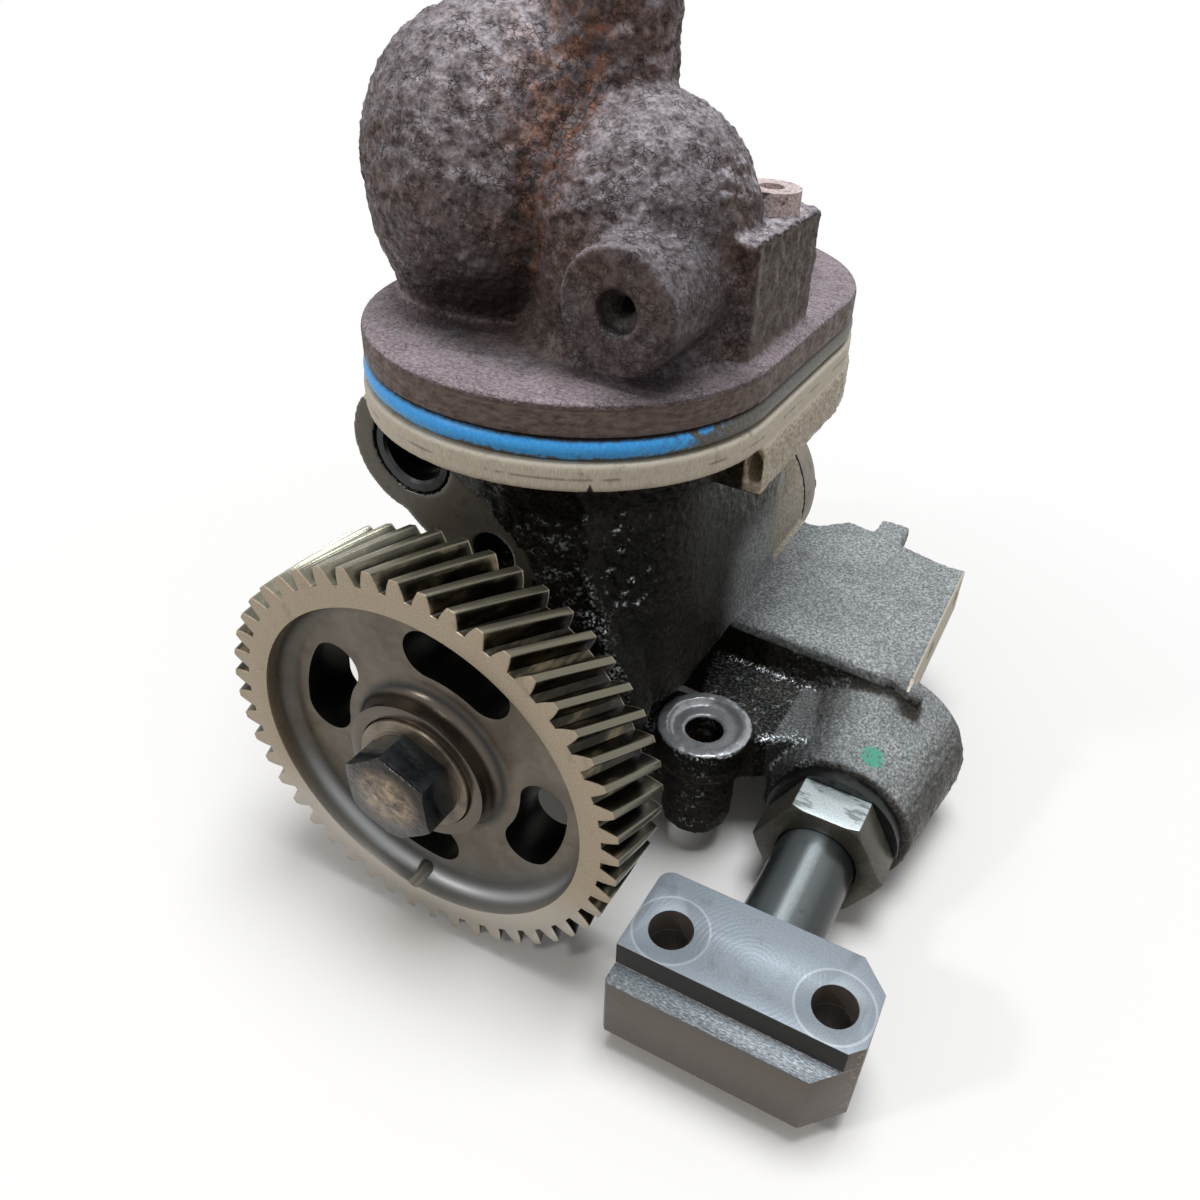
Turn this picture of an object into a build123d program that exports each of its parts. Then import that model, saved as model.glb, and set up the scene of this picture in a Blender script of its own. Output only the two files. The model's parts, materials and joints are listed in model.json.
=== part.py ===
from build123d import *
import math
import os

# Gear-driven engine oil pump.
# Frame: the origin is on the drive axis at the drive gear's front face. X points right,
# Y points back along the shaft and Z points up. All lengths are in millimetres.

# ---- clearances ----
running_gap = 0.04       # radial gap of a turning or sliding fit
seat_gap = 0.02          # radial gap of a part that is pushed on and clamped
end_gap = 0.05           # axial gap at a turning face

# ---- drive gear: helical, right-hand ----
gear_teeth = 48
gear_normal_module = 2.5
gear_helix_deg = 24.0
gear_pressure_deg = 20.0
gear_face = 26.0
gear_rim_inner_r = 55.8
gear_web_recess = 8.0
gear_hub_r = 23.5
gear_hub_recess = 3.5
gear_web_fillet = 5.0
gear_slot_count = 4
gear_slot_mid_r = 39.0
gear_slot_width = 16.0
gear_slot_half_deg = 15.0
gear_slot_first_deg = -17.0
gear_pin_hole_r = 2.6
gear_pin_hole_deg = -97.0

# ---- gear bolt, washer and keys ----
bolt_r = 9.0
bolt_af = 27.0
bolt_head = 11.5
bolt_crown_r = 14.2
bolt_turn_deg = 35.0
bolt_length = 46.0
washer_r = 19.0
washer_thickness = 4.6
washer_chamfer = 0.8
key_width = 6.0
key_length = 15.0
key_depth = 3.0
key_height = 6.0

# ---- drive shaft ----
nose_r = 14.0
nose_start_y = 5.0
journal_r = 17.5
pump_seat_r = 11.0
tail_r = 9.0
tail_length = 10.0

# ---- snout, mounting face and barrel ----
snout_face_y = 28.5
snout_r = 31.0
mount_face_y = 50.0
mount_plate = 14.0
mount_disc_r = 45.0
barrel_r = 42.0
bush_outer_r = 21.0
bush_length = 34.0
thrust_washer_r = 24.0
ear_x = -34.0
ear_z = 73.0
ear_r = 21.5
sleeve_outer_r = 13.9
sleeve_inner_r = 9.8
sleeve_length = 18.0
bolt_ear_x = -6.0
bolt_ear_z = 46.2
bolt_ear_r = 17.0
bolt_ear_hole_r = 7.0
bolt_ear_hole_depth = 13.0
bolt_ear_hole_chamfer = 0.8

# ---- pump gears and chamber ----
pump_teeth = 12
pump_module = 3.0
pump_pressure_deg = 25.0
pump_backlash = 0.16
pump_face = 42.0
chamber_start_y = 168.0
rear_wall_r = 43.0
idler_r = 9.0
idler_bush_wall = 2.0
idler_anchor = 18.0
inlet_hole_r = 10.0
outlet_r = 6.0
outlet_y = 182.0
outlet_z = -34.0
gallery_r = 8.0
gallery_x = 97.0
gallery_z = -36.0

# ---- rear cover ----
gasket_thickness = 0.5
cover_thickness = 14.0
cover_bush_wall = 2.5
cover_screw_r = 4.0
cover_screw_circle_r = 34.0
cover_screw_head_r = 6.5
cover_screw_head = 8.0
cover_screw_grip = 16.0
cover_screw_af = 6.0
cover_screw_socket = 4.0
dowel_r = 3.0
dowel_length = 16.0

# ---- upper flange: a slot shape, round at both ends ----
flange_front_y = 90.0
flange_back_y = 155.0
neck_r = 47.0
neck_cavity_r = 34.0
neck_cavity_front_y = 98.0
neck_cavity_back_y = 150.0
neck_flare_z = 70.0
neck_bottom_z = -8.0
lip_r = 63.8
lip_bottom_z = 71.0
lip_top_z = 85.2
lip_front_y = 88.0
lip_hole_r = 2.2
lip_hole_depth = 12.0
lip_hole_spots = [(60.6, 82.6), (61.2, 76.6)]
neck_rib_x = 27.5
neck_rib_width = 3.6
neck_rib_proud = 2.4
neck_rib_foot_z = 50.0
pilot_r = 63.0
pilot_bottom_z = 86.6
pilot_top_z = 94.9
cavity_floor_z = 30.0

# ---- flange seal and top manifold ----
seal_r = 62.6
seal_width = 16.0
seal_height = 6.8
plate_r = 62.1
plate_thickness = 9.6
lobe_foot_x = -30.0
lobe_foot_rx = 31.0
lobe_foot_ry = 25.0
dome_x = 19.0
dome_y = 92.0
dome_r = 32.0
dome_base_r = 36.0
dome_centre_z = 143.0
manifold_wall = 7.0
neck_pipe_x = 4.0
neck_pipe_y = 97.0
neck_pipe_r = 18.0
neck_pipe_bore_r = 12.0
neck_pipe_top_z = 200.0
front_boss_x = 34.6
front_boss_z = 131.0
front_boss_r = 16.2
front_boss_face_y = 49.0
port_step_r = 5.6
port_step_depth = 4.0
port_hole_r = 2.8
pillar_x0 = 34.0
pillar_x1 = 57.0
pillar_y0 = 82.0
pillar_y1 = 130.0
pillar_top_z = 144.6

# ---- manifold screws: x, y and the height that each head seats on ----
screw_r = 5.0
screw_head_r = 8.6
screw_head = 6.5
screw_socket_r = 3.6
screw_depth = 17.0
screw_seats = [(46.0, 115.0, pillar_top_z), (-47.0, 150.0, 130.0), (8.0, 199.0, 122.0)]
screw_boss_r = 11.0

# ---- right arm with its machined pad ----
arm_front_y = 124.0
arm_back_y = 210.0
arm_top_z = -6.0
arm_bottom_z = -50.0
arm_x = 108.0
arm_root_x = 8.0
pad_x = 117.0
pad_bottom_z = -26.0
pad_hole_r = 4.25
pad_hole_depth = 14.0
pad_hole_middle_y = 180.0
pad_hole_spacing = 40.0
tab_x0 = 74.0
tab_x1 = 87.0
tab_length = 15.0
tab_thickness = 9.0
nub_x = 122.5
nub_length = 8.0
nub_drop = 1.5
nub_height = 12.0

# ---- side lug with its vertical bolt hole ----
lug_x = 57.5
lug_y = 81.0
lug_r = 17.0
lug_stem_r = 12.8
lug_top_z = -18.0
lug_spot_depth = 2.5
lug_head = 14.0
web_setback = 14.0
lug_bottom_z = -61.0
lug_hole_r = 6.75

# ---- delivery connection ----
line_x = 107.7
line_z = -47.2
boss_front_y = 88.0
boss_back_y = 138.0
boss_front_r = 27.0
boss_back_r = 34.5
boss_flat_z = -73.0
boss_bore_r = 16.0
boss_bore_length = 18.0
boss_passage_r = 10.0
collar_r = 24.3
collar_thickness = 5.0
union_stub_wall = 3.8
union_stub_length = 8.0
tube_r = 14.0
tube_wall = 3.0
nut_wall = 2.7
nut_length = 15.0
nut_front_wall = 4.0
ferrule_wall = 2.6

# ---- connector block ----
block_x0 = 70.3
block_x1 = 144.5
block_front_y = -3.0
block_back_y = 27.5
block_top_z = -30.0
block_bottom_z = -63.3
ledge_depth = 7.0
ledge_drop = 9.3
block_corner = 11.0
block_bevel = 9.0
block_round = 4.5
block_hole_r = 6.75
block_hole_y = 8.5
block_hole_spacing = 50.8
block_port_r = 8.0
tube_socket = 7.0
ring_mid_r = 10.4
ring_wire_r = 1.5
ring_groove = 2.3

# ---- relief valve ----
valve_x = -44.0
valve_y = 108.0
valve_boss_r = 16.0
valve_boss_top_z = 8.0
valve_mouth_z = -46.0
valve_seat_z = -8.0
valve_bore_r = 9.0
valve_orifice_r = 4.0
valve_gallery_z = -2.0
valve_spill_r = 3.0
valve_spill_drop = 9.0
plunger_length = 18.0
plunger_wall = 2.0
plunger_crown = 5.0
valve_plug_length = 10.0
valve_plug_af = 19.0
valve_plug_head = 6.0
valve_plug_flange = 1.5
spring_wire_r = 1.1
spring_turns = 5.5

# ---- sizes that follow from the ones above ----
gear_transverse_module = gear_normal_module / math.cos(math.radians(gear_helix_deg))
gear_pitch_r = gear_transverse_module * gear_teeth / 2
gear_tip_r = gear_pitch_r + gear_normal_module
gear_root_r = gear_pitch_r - 1.25 * gear_normal_module
gear_twist_deg = math.degrees(gear_face * math.tan(math.radians(gear_helix_deg)) / gear_pitch_r)
pump_pitch_r = pump_module * pump_teeth / 2
pump_tip_r = pump_pitch_r + pump_module
pump_root_r = pump_pitch_r - 1.25 * pump_module
pump_centres = 2 * pump_pitch_r
chamber_end_y = chamber_start_y + pump_face + 2 * end_gap
cover_front_y = chamber_end_y + gasket_thickness
cover_back_y = cover_front_y + cover_thickness
front_bush_y = snout_face_y + 1.0
rear_bush_y = chamber_start_y - 1.0 - bush_length
plate_bottom_z = pilot_top_z + seal_height
plate_top_z = plate_bottom_z + plate_thickness
collar_front_y = boss_front_y - collar_thickness
nut_front_y = collar_front_y - nut_length
union_stub_y = collar_front_y - union_stub_length
tube_bore_r = tube_r - tube_wall
union_stub_r = tube_r + union_stub_wall
nut_af = 2 * (union_stub_r + nut_wall)
tube_start_y = block_back_y - tube_socket
tube_end_y = union_stub_y + union_stub_length
valve_plug_inner_z = valve_mouth_z + valve_plug_length
plunger_pocket_z = valve_seat_z - plunger_crown
cover_screw_spots = [(cover_screw_circle_r * math.cos(math.radians(a)),
                      cover_screw_circle_r * math.sin(math.radians(a))) for a in (-65, 0, 65)]
cover_screw_spots += [(-x - pump_centres, z) for x, z in cover_screw_spots]


def rod_x(radius, x0, x1, y=0.0, z=0.0):
    """Cylinder along X from x0 to x1."""
    solid = Cylinder(radius, x1 - x0, align=(Align.CENTER, Align.CENTER, Align.MIN))
    return Pos(x0, y, z) * Rot(0, 90, 0) * solid


def rod_y(radius, y0, y1, x=0.0, z=0.0):
    """Cylinder along Y from y0 to y1."""
    solid = Cylinder(radius, y1 - y0, align=(Align.CENTER, Align.CENTER, Align.MIN))
    return Pos(x, y0, z) * Rot(-90, 0, 0) * solid


def rod_z(radius, z0, z1, x=0.0, y=0.0):
    """Cylinder along Z from z0 to z1."""
    return Pos(x, y, z0) * Cylinder(radius, z1 - z0, align=(Align.CENTER, Align.CENTER, Align.MIN))


def cone_y(r0, r1, y0, y1, x=0.0, z=0.0):
    """Cone along Y with radius r0 at y0 and r1 at y1."""
    solid = Cone(r0, r1, y1 - y0, align=(Align.CENTER, Align.CENTER, Align.MIN))
    return Pos(x, y0, z) * Rot(-90, 0, 0) * solid


def slab(x0, x1, y0, y1, z0, z1):
    """Box given by its limits."""
    centre = Pos((x0 + x1) / 2, (y0 + y1) / 2, (z0 + z1) / 2)
    return centre * Box(x1 - x0, y1 - y0, z1 - z0)


def slot_z(radius, z0, z1):
    """Prism along Z on the flange's slot outline."""
    long = slab(-radius, radius, flange_front_y, flange_back_y, z0, z1)
    return long + rod_z(radius, z0, z1, 0, flange_front_y) + rod_z(radius, z0, z1, 0, flange_back_y)


def hull_y(spots, radius, y0, y1):
    """Prism along Y round two equal circles at the given x and z."""
    (xa, za), (xb, zb) = spots
    span = math.hypot(xb - xa, zb - za)
    turn = math.degrees(math.atan2(zb - za, xb - xa))
    middle = Pos((xa + xb) / 2, (y0 + y1) / 2, (za + zb) / 2) * Rot(0, -turn, 0)
    return (middle * Box(span, y1 - y0, 2 * radius)
            + rod_y(radius, y0, y1, xa, za) + rod_y(radius, y0, y1, xb, zb))


def hexagon_y(across_flats, y0, y1, x=0.0, z=0.0):
    """Hexagonal prism along Y."""
    outline = RegularPolygon(across_flats / 2, 6, major_radius=False)
    return Pos(x, y0, z) * Rot(-90, 0, 0) * extrude(outline, y1 - y0)


def involute_outline(teeth, pitch_r, tip_r, root_r, pressure_deg, backlash, steps):
    """Closed outline of a spur or transverse gear section, with one tooth on the +X axis."""
    base_r = pitch_r * math.cos(math.radians(pressure_deg))
    flank_start = max(base_r, root_r)

    def half_angle(radius):
        at_pitch = math.tan(math.radians(pressure_deg)) - math.radians(pressure_deg)
        local = math.acos(min(1.0, base_r / radius))
        thickness = math.pi / (2 * teeth) - backlash / (2 * pitch_r)
        return thickness + at_pitch - (math.tan(local) - local)

    radii = [flank_start + (tip_r - flank_start) * i / steps for i in range(steps + 1)]
    if root_r < flank_start:
        radii = [root_r] + radii
    points = []
    for tooth in range(teeth):
        centre = 2 * math.pi * tooth / teeth
        rising = [(r, centre - half_angle(max(r, flank_start))) for r in radii]
        falling = [(r, centre + half_angle(max(r, flank_start))) for r in reversed(radii)]
        points += [(r * math.cos(a), r * math.sin(a)) for r, a in rising + falling]
    return Polyline(*points, close=True)


def kidney_slot(mid_deg):
    """Curved slot through the gear web."""
    arc = CenterArc((0, 0), gear_slot_mid_r, mid_deg - gear_slot_half_deg, 2 * gear_slot_half_deg)
    return SlotArc(arc, gear_slot_width)


def web_recess(y0, y1):
    """Ring-shaped recess between the gear's hub and rim, with rounded corners at y1."""
    profile = Rectangle(gear_rim_inner_r - gear_hub_r, y1 - y0)
    profile = Pos((gear_rim_inner_r + gear_hub_r) / 2, (y0 + y1) / 2) * profile
    profile = fillet(profile.vertices().group_by(Axis.Y)[-1], gear_web_fillet)
    return revolve(profile, Axis.Y)


def drive_gear():
    outline = involute_outline(gear_teeth, gear_pitch_r, gear_tip_r, gear_root_r,
                               gear_pressure_deg, 0.1, 3)
    section = make_face(outline).face()
    blank = Solid.extrude_linear_with_rotation(section, (0, 0, 0), (0, 0, gear_face), gear_twist_deg)
    gear = Rot(-90, 0, 0) * blank
    web_back_y = gear_face - gear_web_recess
    gear -= web_recess(-1, gear_web_recess)
    gear -= Pos(0, web_back_y + gear_face + 1, 0) * Rot(180, 0, 0) * web_recess(0, gear_web_recess + 1)
    gear -= rod_y(washer_r + 0.5, -1, gear_hub_recess)
    gear -= rod_y(nose_r + seat_gap, -1, gear_face + 1)
    slots = Sketch() + [kidney_slot(-gear_slot_first_deg + i * 360 / gear_slot_count)
                        for i in range(gear_slot_count)]
    gear -= Rot(-90, 0, 0) * extrude(slots, gear_face)
    hole_x = (gear_rim_inner_r - 1.5) * math.cos(math.radians(gear_pin_hole_deg))
    hole_z = (gear_rim_inner_r - 1.5) * math.sin(math.radians(gear_pin_hole_deg))
    gear -= rod_y(gear_pin_hole_r, 0, gear_face, hole_x, hole_z)
    return gear - nose_key(0.05)


def nose_key(grow=0.0):
    """Parallel key between the shaft's nose and the gear's hub; grow gives its keyway."""
    y0 = nose_start_y + 4.0
    low = nose_r - key_depth - grow
    return slab(-key_width / 2 - grow, key_width / 2 + grow, y0 - grow, y0 + key_length + grow,
                low, low + key_height + 2 * grow)


def pump_key(grow=0.0):
    """Parallel key between the shaft and the pump's drive gear; grow gives its keyway."""
    mid_y = chamber_start_y + pump_face / 2
    half = key_width / 2 - 0.5
    low = pump_seat_r - 2.0 - grow
    return slab(-half - grow, half + grow, mid_y - key_length - grow, mid_y + key_length + grow,
                low, low + 3.5 + 2 * grow)


def gear_washer():
    front = gear_hub_recess - washer_thickness
    washer = rod_y(washer_r, front, gear_hub_recess) - rod_y(bolt_r + 0.4, front - 1, gear_hub_recess + 1)
    return chamfer(washer.edges().filter_by(GeomType.CIRCLE).group_by(Axis.Y)[0][-1:], washer_chamfer)


def gear_bolt():
    seat = gear_hub_recess - washer_thickness
    head = Rot(0, -bolt_turn_deg, 0) * hexagon_y(bolt_af, seat - bolt_head, seat)
    head &= cone_y(bolt_crown_r, bolt_crown_r + bolt_head * 2, seat - bolt_head, seat)
    return head + rod_y(bolt_r - seat_gap, seat, seat + bolt_length)


def drive_shaft():
    shaft = rod_y(nose_r, nose_start_y, gear_face)
    shaft += rod_y(journal_r, gear_face, chamber_start_y + end_gap)
    shaft += rod_y(pump_seat_r, chamber_start_y, chamber_end_y)
    shaft += rod_y(tail_r, chamber_end_y, cover_front_y + tail_length)
    hole_end = gear_hub_recess - washer_thickness + bolt_length + 6
    shaft -= rod_y(bolt_r, nose_start_y - 1, hole_end)
    shaft -= cone_y(0.1 + bolt_r, 0.1, hole_end, hole_end + bolt_r / 2)
    return shaft - nose_key(0.05) - pump_key(0.05)


def bushing(inner_r, outer_r, y0, length):
    return rod_y(outer_r, y0, y0 + length) - rod_y(inner_r, y0 - 1, y0 + length + 1)


def pump_gear(turn_deg, bore_r):
    outline = involute_outline(pump_teeth, pump_pitch_r, pump_tip_r, pump_root_r,
                               pump_pressure_deg, pump_backlash, 4)
    body = extrude(make_face(outline), pump_face)
    body -= Cylinder(bore_r, 3 * pump_face)
    return Pos(0, chamber_start_y + end_gap, 0) * Rot(-90, 0, 0) * Rot(0, 0, turn_deg) * body


def pump_drive_gear():
    return pump_gear(0, pump_seat_r + seat_gap) - pump_key(0.05)


def pump_driven_gear():
    return Pos(-pump_centres, 0, 0) * pump_gear(180 / pump_teeth, idler_r + idler_bush_wall)


def idler_bushing():
    bush = bushing(idler_r + running_gap, idler_r + idler_bush_wall, chamber_start_y + end_gap, pump_face)
    return Pos(-pump_centres, 0, 0) * bush


def idler_shaft():
    return rod_y(idler_r, chamber_start_y - idler_anchor, cover_front_y + tail_length, -pump_centres)


def mounting_plate():
    """Front plate with the disc round the shaft and the two bolt ears."""
    y0 = mount_face_y
    y1 = mount_face_y + mount_plate
    plate = rod_y(mount_disc_r, y0, y1)
    plate += mounting_ears(y0, y1)
    plate += slab(ear_x, bolt_ear_x, y0, y1, ear_z, pilot_bottom_z)
    return plate


def mounting_ears(y0, y1):
    """Both bolt ears as one prism, also used as the path of the cutter that faces them."""
    ears = rod_y(ear_r, y0, y1, ear_x, ear_z)
    ears += hull_y([(ear_x + 3, ear_z - 5), (bolt_ear_x, bolt_ear_z)], bolt_ear_r, y0, y1)
    ears += hull_y([(bolt_ear_x, bolt_ear_z), (bolt_ear_x, 0)], bolt_ear_r, y0, y1)
    return ears & slab(-99, 99, y0 - 1, y1 + 1, -99, pilot_bottom_z)


def right_arm():
    """Arm that ends in the machined pad, with the short tab on its back edge."""
    slanted = Polyline((arm_root_x, arm_front_y + 5), (arm_x, arm_front_y), (arm_x, arm_back_y),
                       (62, arm_back_y + 12), (50, chamber_end_y), (arm_root_x, chamber_end_y), close=True)
    arm = Pos(0, 0, arm_bottom_z) * extrude(make_face(slanted), arm_top_z - arm_bottom_z)
    arm = fillet(arm.edges().filter_by(Axis.Z).group_by(Axis.X)[-1], 4)
    arm += slab(arm_x - 6, pad_x, arm_front_y, arm_back_y, pad_bottom_z, arm_top_z)
    tab_y = arm_back_y + 4
    arm += slab(tab_x0, tab_x1, tab_y - 10, tab_y + tab_length + 3, arm_top_z - tab_thickness, arm_top_z)
    return arm


def neck_rib():
    """Cast rib on the front of the neck that bends outwards at its foot."""
    angle = math.asin(neck_rib_x / neck_r)
    front_y = flange_front_y - neck_r * math.cos(angle) - neck_rib_proud
    half = neck_rib_width / 2
    rib = slab(neck_rib_x - half, neck_rib_x + half, front_y, flange_front_y,
               neck_rib_foot_z, lip_bottom_z + 9)
    foot = Polyline((neck_rib_x - half, neck_rib_foot_z + half), (neck_rib_x + half, neck_rib_foot_z + half),
                    (41, 18), (37, 18), close=True)
    tail = Pos(0, flange_front_y, 0) * Rot(90, 0, 0) * extrude(make_face(foot), flange_front_y - front_y)
    return rib + (tail & rod_z(neck_r + neck_rib_proud, 0, 99, 0, flange_front_y))


def side_lug():
    """Lug for a vertical bolt, with the web that ties it to the barrel and the delivery boss."""
    lug = rod_z(lug_stem_r, lug_bottom_z, lug_top_z, lug_x, lug_y)
    lug += rod_z(lug_r, lug_top_z - lug_head, lug_top_z, lug_x, lug_y)
    lug += slab(20, lug_x, lug_y - 9, lug_y + 15, lug_bottom_z + 14, lug_top_z - 3)
    web = Polyline((lug_x - 6, lug_y + 4), (lug_x + 12, lug_y + 4), (line_x - 12, boss_front_y + web_setback),
                   (line_x - 12, arm_front_y + 8), (lug_x - 20, arm_front_y + 8), close=True)
    lug += Pos(0, 0, lug_bottom_z + 18) * extrude(make_face(web), lug_top_z - 6 - lug_bottom_z - 18)
    return lug


def delivery_boss():
    """Tapered boss for the delivery union."""
    boss = cone_y(boss_front_r, boss_back_r, boss_front_y, boss_back_y, line_x, line_z)
    boss += cone_y(boss_back_r, boss_back_r - 8, boss_back_y, boss_back_y + 8, line_x, line_z)
    return boss


def pump_housing():
    body = rod_y(barrel_r, mount_face_y + 2, chamber_end_y)
    body += rod_y(snout_r, snout_face_y, mount_face_y + 2)
    body += hull_y([(0, 0), (-pump_centres, 0)], rear_wall_r, chamber_start_y - 16, chamber_end_y)
    body += mounting_plate()
    body += slot_z(neck_r, neck_bottom_z, pilot_bottom_z)
    flare = loft([Pos(0, 0, neck_flare_z) * slot_face(neck_r),
                  Pos(0, 0, pilot_bottom_z) * slot_face(neck_r + 9)])
    body += flare
    lip = slot_z(lip_r, lip_bottom_z, lip_top_z) - slab(-90, 90, 0, lip_front_y, 0, 120)
    body += lip
    body += slot_z(lip_r - 3, lip_top_z, pilot_bottom_z) - slab(-90, 90, 0, lip_front_y, 0, 120)
    body += slot_z(pilot_r, pilot_bottom_z, pilot_top_z)
    body += right_arm()
    body += delivery_boss()
    body += side_lug()
    body += neck_rib()
    body += slab(arm_x, nub_x, arm_front_y - nub_length / 2, arm_front_y + nub_length / 2,
                 arm_top_z - nub_height, arm_top_z - nub_drop)
    body += rod_z(valve_boss_r, valve_mouth_z, valve_boss_top_z, valve_x, valve_y)
    body -= slab(0, 200, 0, 300, -200, boss_flat_z)
    return body - housing_cuts()


def slot_face(radius):
    """Flat face on the flange's slot outline."""
    long = Rectangle(2 * radius, flange_back_y - flange_front_y)
    long = Pos(0, (flange_front_y + flange_back_y) / 2) * long
    return long + Pos(0, flange_front_y) * Circle(radius) + Pos(0, flange_back_y) * Circle(radius)


def housing_cuts():
    """Everything that is bored or hollowed out of the housing, as one list of solids."""
    far = 400.0
    cuts = [rod_y(bush_outer_r, snout_face_y - 1, front_bush_y + bush_length)]
    cuts.append(rod_y(journal_r + 2, snout_face_y, chamber_start_y))
    cuts.append(mounting_ears(snout_face_y, mount_face_y) - rod_y(snout_r, 0, far))
    cuts.append(rod_y(bush_outer_r, rear_bush_y, chamber_start_y + 1))
    cuts.append(rod_y(pump_tip_r + 0.06, chamber_start_y, chamber_end_y + 1))
    cuts.append(rod_y(pump_tip_r + 0.06, chamber_start_y, chamber_end_y + 1, -pump_centres))
    cuts.append(rod_y(idler_r, chamber_start_y - idler_anchor, chamber_start_y + 1, -pump_centres))
    cuts.append(rod_y(sleeve_outer_r, mount_face_y - 1, mount_face_y + sleeve_length, ear_x, ear_z))
    hole_end_y = mount_face_y + bolt_ear_hole_depth
    cuts.append(rod_y(bolt_ear_hole_r, mount_face_y - 1, hole_end_y, bolt_ear_x, bolt_ear_z))
    mouth_r = bolt_ear_hole_r + bolt_ear_hole_chamfer
    cuts.append(cone_y(mouth_r, bolt_ear_hole_r, mount_face_y, mount_face_y + bolt_ear_hole_chamfer,
                       bolt_ear_x, bolt_ear_z))
    cuts.append(hull_y(lip_hole_spots, lip_hole_r, lip_front_y - 1, lip_front_y + lip_hole_depth))
    top = pilot_top_z + 1
    cuts.append(rod_z(neck_cavity_r, cavity_floor_z, top, 0, neck_cavity_front_y))
    cuts.append(rod_z(neck_cavity_r, cavity_floor_z, top, 0, neck_cavity_back_y))
    cuts.append(slab(-neck_cavity_r, neck_cavity_r, neck_cavity_front_y, neck_cavity_back_y,
                     cavity_floor_z, top))
    inlet_y = chamber_start_y + pump_face / 2
    cuts.append(rod_z(inlet_hole_r, 8, cavity_floor_z + 1, -pump_centres / 2, inlet_y))
    cuts.append(rod_z(lug_hole_r, lug_bottom_z - 1, lug_top_z + 1, lug_x, lug_y))
    cuts.append(rod_z(lug_stem_r, lug_top_z - lug_spot_depth, lug_top_z + 1, lug_x, lug_y))
    pad_hole_z = (arm_top_z + pad_bottom_z) / 2
    for side in (-0.5, 0.5):
        hole_y = pad_hole_middle_y + side * pad_hole_spacing
        cuts.append(rod_x(pad_hole_r, pad_x - pad_hole_depth, pad_x + 1, hole_y, pad_hole_z))
    cuts.append(rod_y(boss_bore_r, boss_front_y - 1, boss_front_y + boss_bore_length, line_x, line_z))
    cuts.append(rod_y(boss_passage_r, boss_front_y, boss_back_y, line_x, line_z))
    cuts.append(rod_z(outlet_r, outlet_z, -outlet_r, -pump_centres / 2, outlet_y))
    cuts.append(rod_x(outlet_r, -pump_centres / 2, gallery_x, outlet_y, outlet_z))
    cuts.append(rod_y(gallery_r, boss_back_y - gallery_r, outlet_y + 2 * gallery_r, gallery_x, gallery_z))
    cuts.append(rod_z(valve_bore_r, valve_mouth_z - 1, valve_seat_z, valve_x, valve_y))
    cuts.append(rod_z(valve_orifice_r, valve_seat_z - 1, valve_gallery_z, valve_x, valve_y))
    cuts.append(rod_x(valve_orifice_r, valve_x, 0, valve_y, valve_gallery_z))
    spill_z = valve_seat_z - valve_spill_drop
    cuts.append(rod_x(valve_spill_r, valve_x - valve_boss_r - 1, valve_x, valve_y, spill_z))
    for x, y, _ in screw_seats:
        cuts.append(rod_z(screw_r, pilot_top_z - screw_depth - 3, pilot_top_z + 1, x, y))
    for x, z in cover_screw_spots:
        cuts.append(rod_y(cover_screw_r, chamber_end_y - cover_screw_grip - 2, chamber_end_y + 1, x, z))
    for x, z in dowel_spots():
        cuts.append(rod_y(dowel_r, chamber_end_y - dowel_length / 2, chamber_end_y + 1, x, z))
    return cuts


def dowel_spots():
    """Places of the two dowels that line up the rear cover."""
    angle = math.radians(105)
    x = cover_screw_circle_r * math.cos(angle)
    z = cover_screw_circle_r * math.sin(angle)
    return [(x, z), (-x - pump_centres, -z)]


def cover_outline(y0, y1):
    return hull_y([(0, 0), (-pump_centres, 0)], rear_wall_r, y0, y1)


def rear_cover():
    cover = cover_outline(cover_front_y, cover_back_y)
    cover = chamfer(cover.faces().sort_by(Axis.Y)[-1].edges(), 1.5)
    cover -= rod_y(tail_r + cover_bush_wall, cover_front_y - 1, cover_front_y + tail_length + 1)
    cover -= rod_y(idler_r, cover_front_y - 1, cover_front_y + tail_length + 1, -pump_centres)
    for x, z in cover_screw_spots:
        cover -= rod_y(cover_screw_r + 0.4, cover_front_y - 1, cover_back_y + 1, x, z)
    for x, z in dowel_spots():
        cover -= rod_y(dowel_r, cover_front_y - 1, cover_front_y + dowel_length / 2, x, z)
    return cover


def cover_gasket():
    sheet = cover_outline(chamber_end_y, cover_front_y)
    sheet -= hull_y([(0, 0), (-pump_centres, 0)], pump_tip_r + 1, chamber_end_y - 1, cover_front_y + 1)
    for x, z in cover_screw_spots:
        sheet -= rod_y(cover_screw_r + 0.4, chamber_end_y - 1, cover_front_y + 1, x, z)
    for x, z in dowel_spots():
        sheet -= rod_y(dowel_r, chamber_end_y - 1, cover_front_y + 1, x, z)
    return sheet


def cover_screws():
    """One socket-head screw at each spot round the rear cover."""
    screws = []
    for x, z in cover_screw_spots:
        screw = rod_y(cover_screw_head_r, cover_back_y, cover_back_y + cover_screw_head, x, z)
        screw += rod_y(cover_screw_r - seat_gap, chamber_end_y - cover_screw_grip, cover_back_y, x, z)
        socket_y = cover_back_y + cover_screw_head - cover_screw_socket
        screw -= hexagon_y(cover_screw_af, socket_y, cover_back_y + cover_screw_head + 1, x, z)
        screws.append(screw)
    return screws


def cover_dowels():
    half = dowel_length / 2 - 0.2
    return [rod_y(dowel_r - seat_gap, chamber_end_y - half, cover_front_y + half, x, z)
            for x, z in dowel_spots()]


def thrust_washer():
    ring = rod_y(thrust_washer_r, gear_face + end_gap, snout_face_y)
    return ring - rod_y(journal_r + running_gap * 3, gear_face - 1, snout_face_y + 1)


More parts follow.
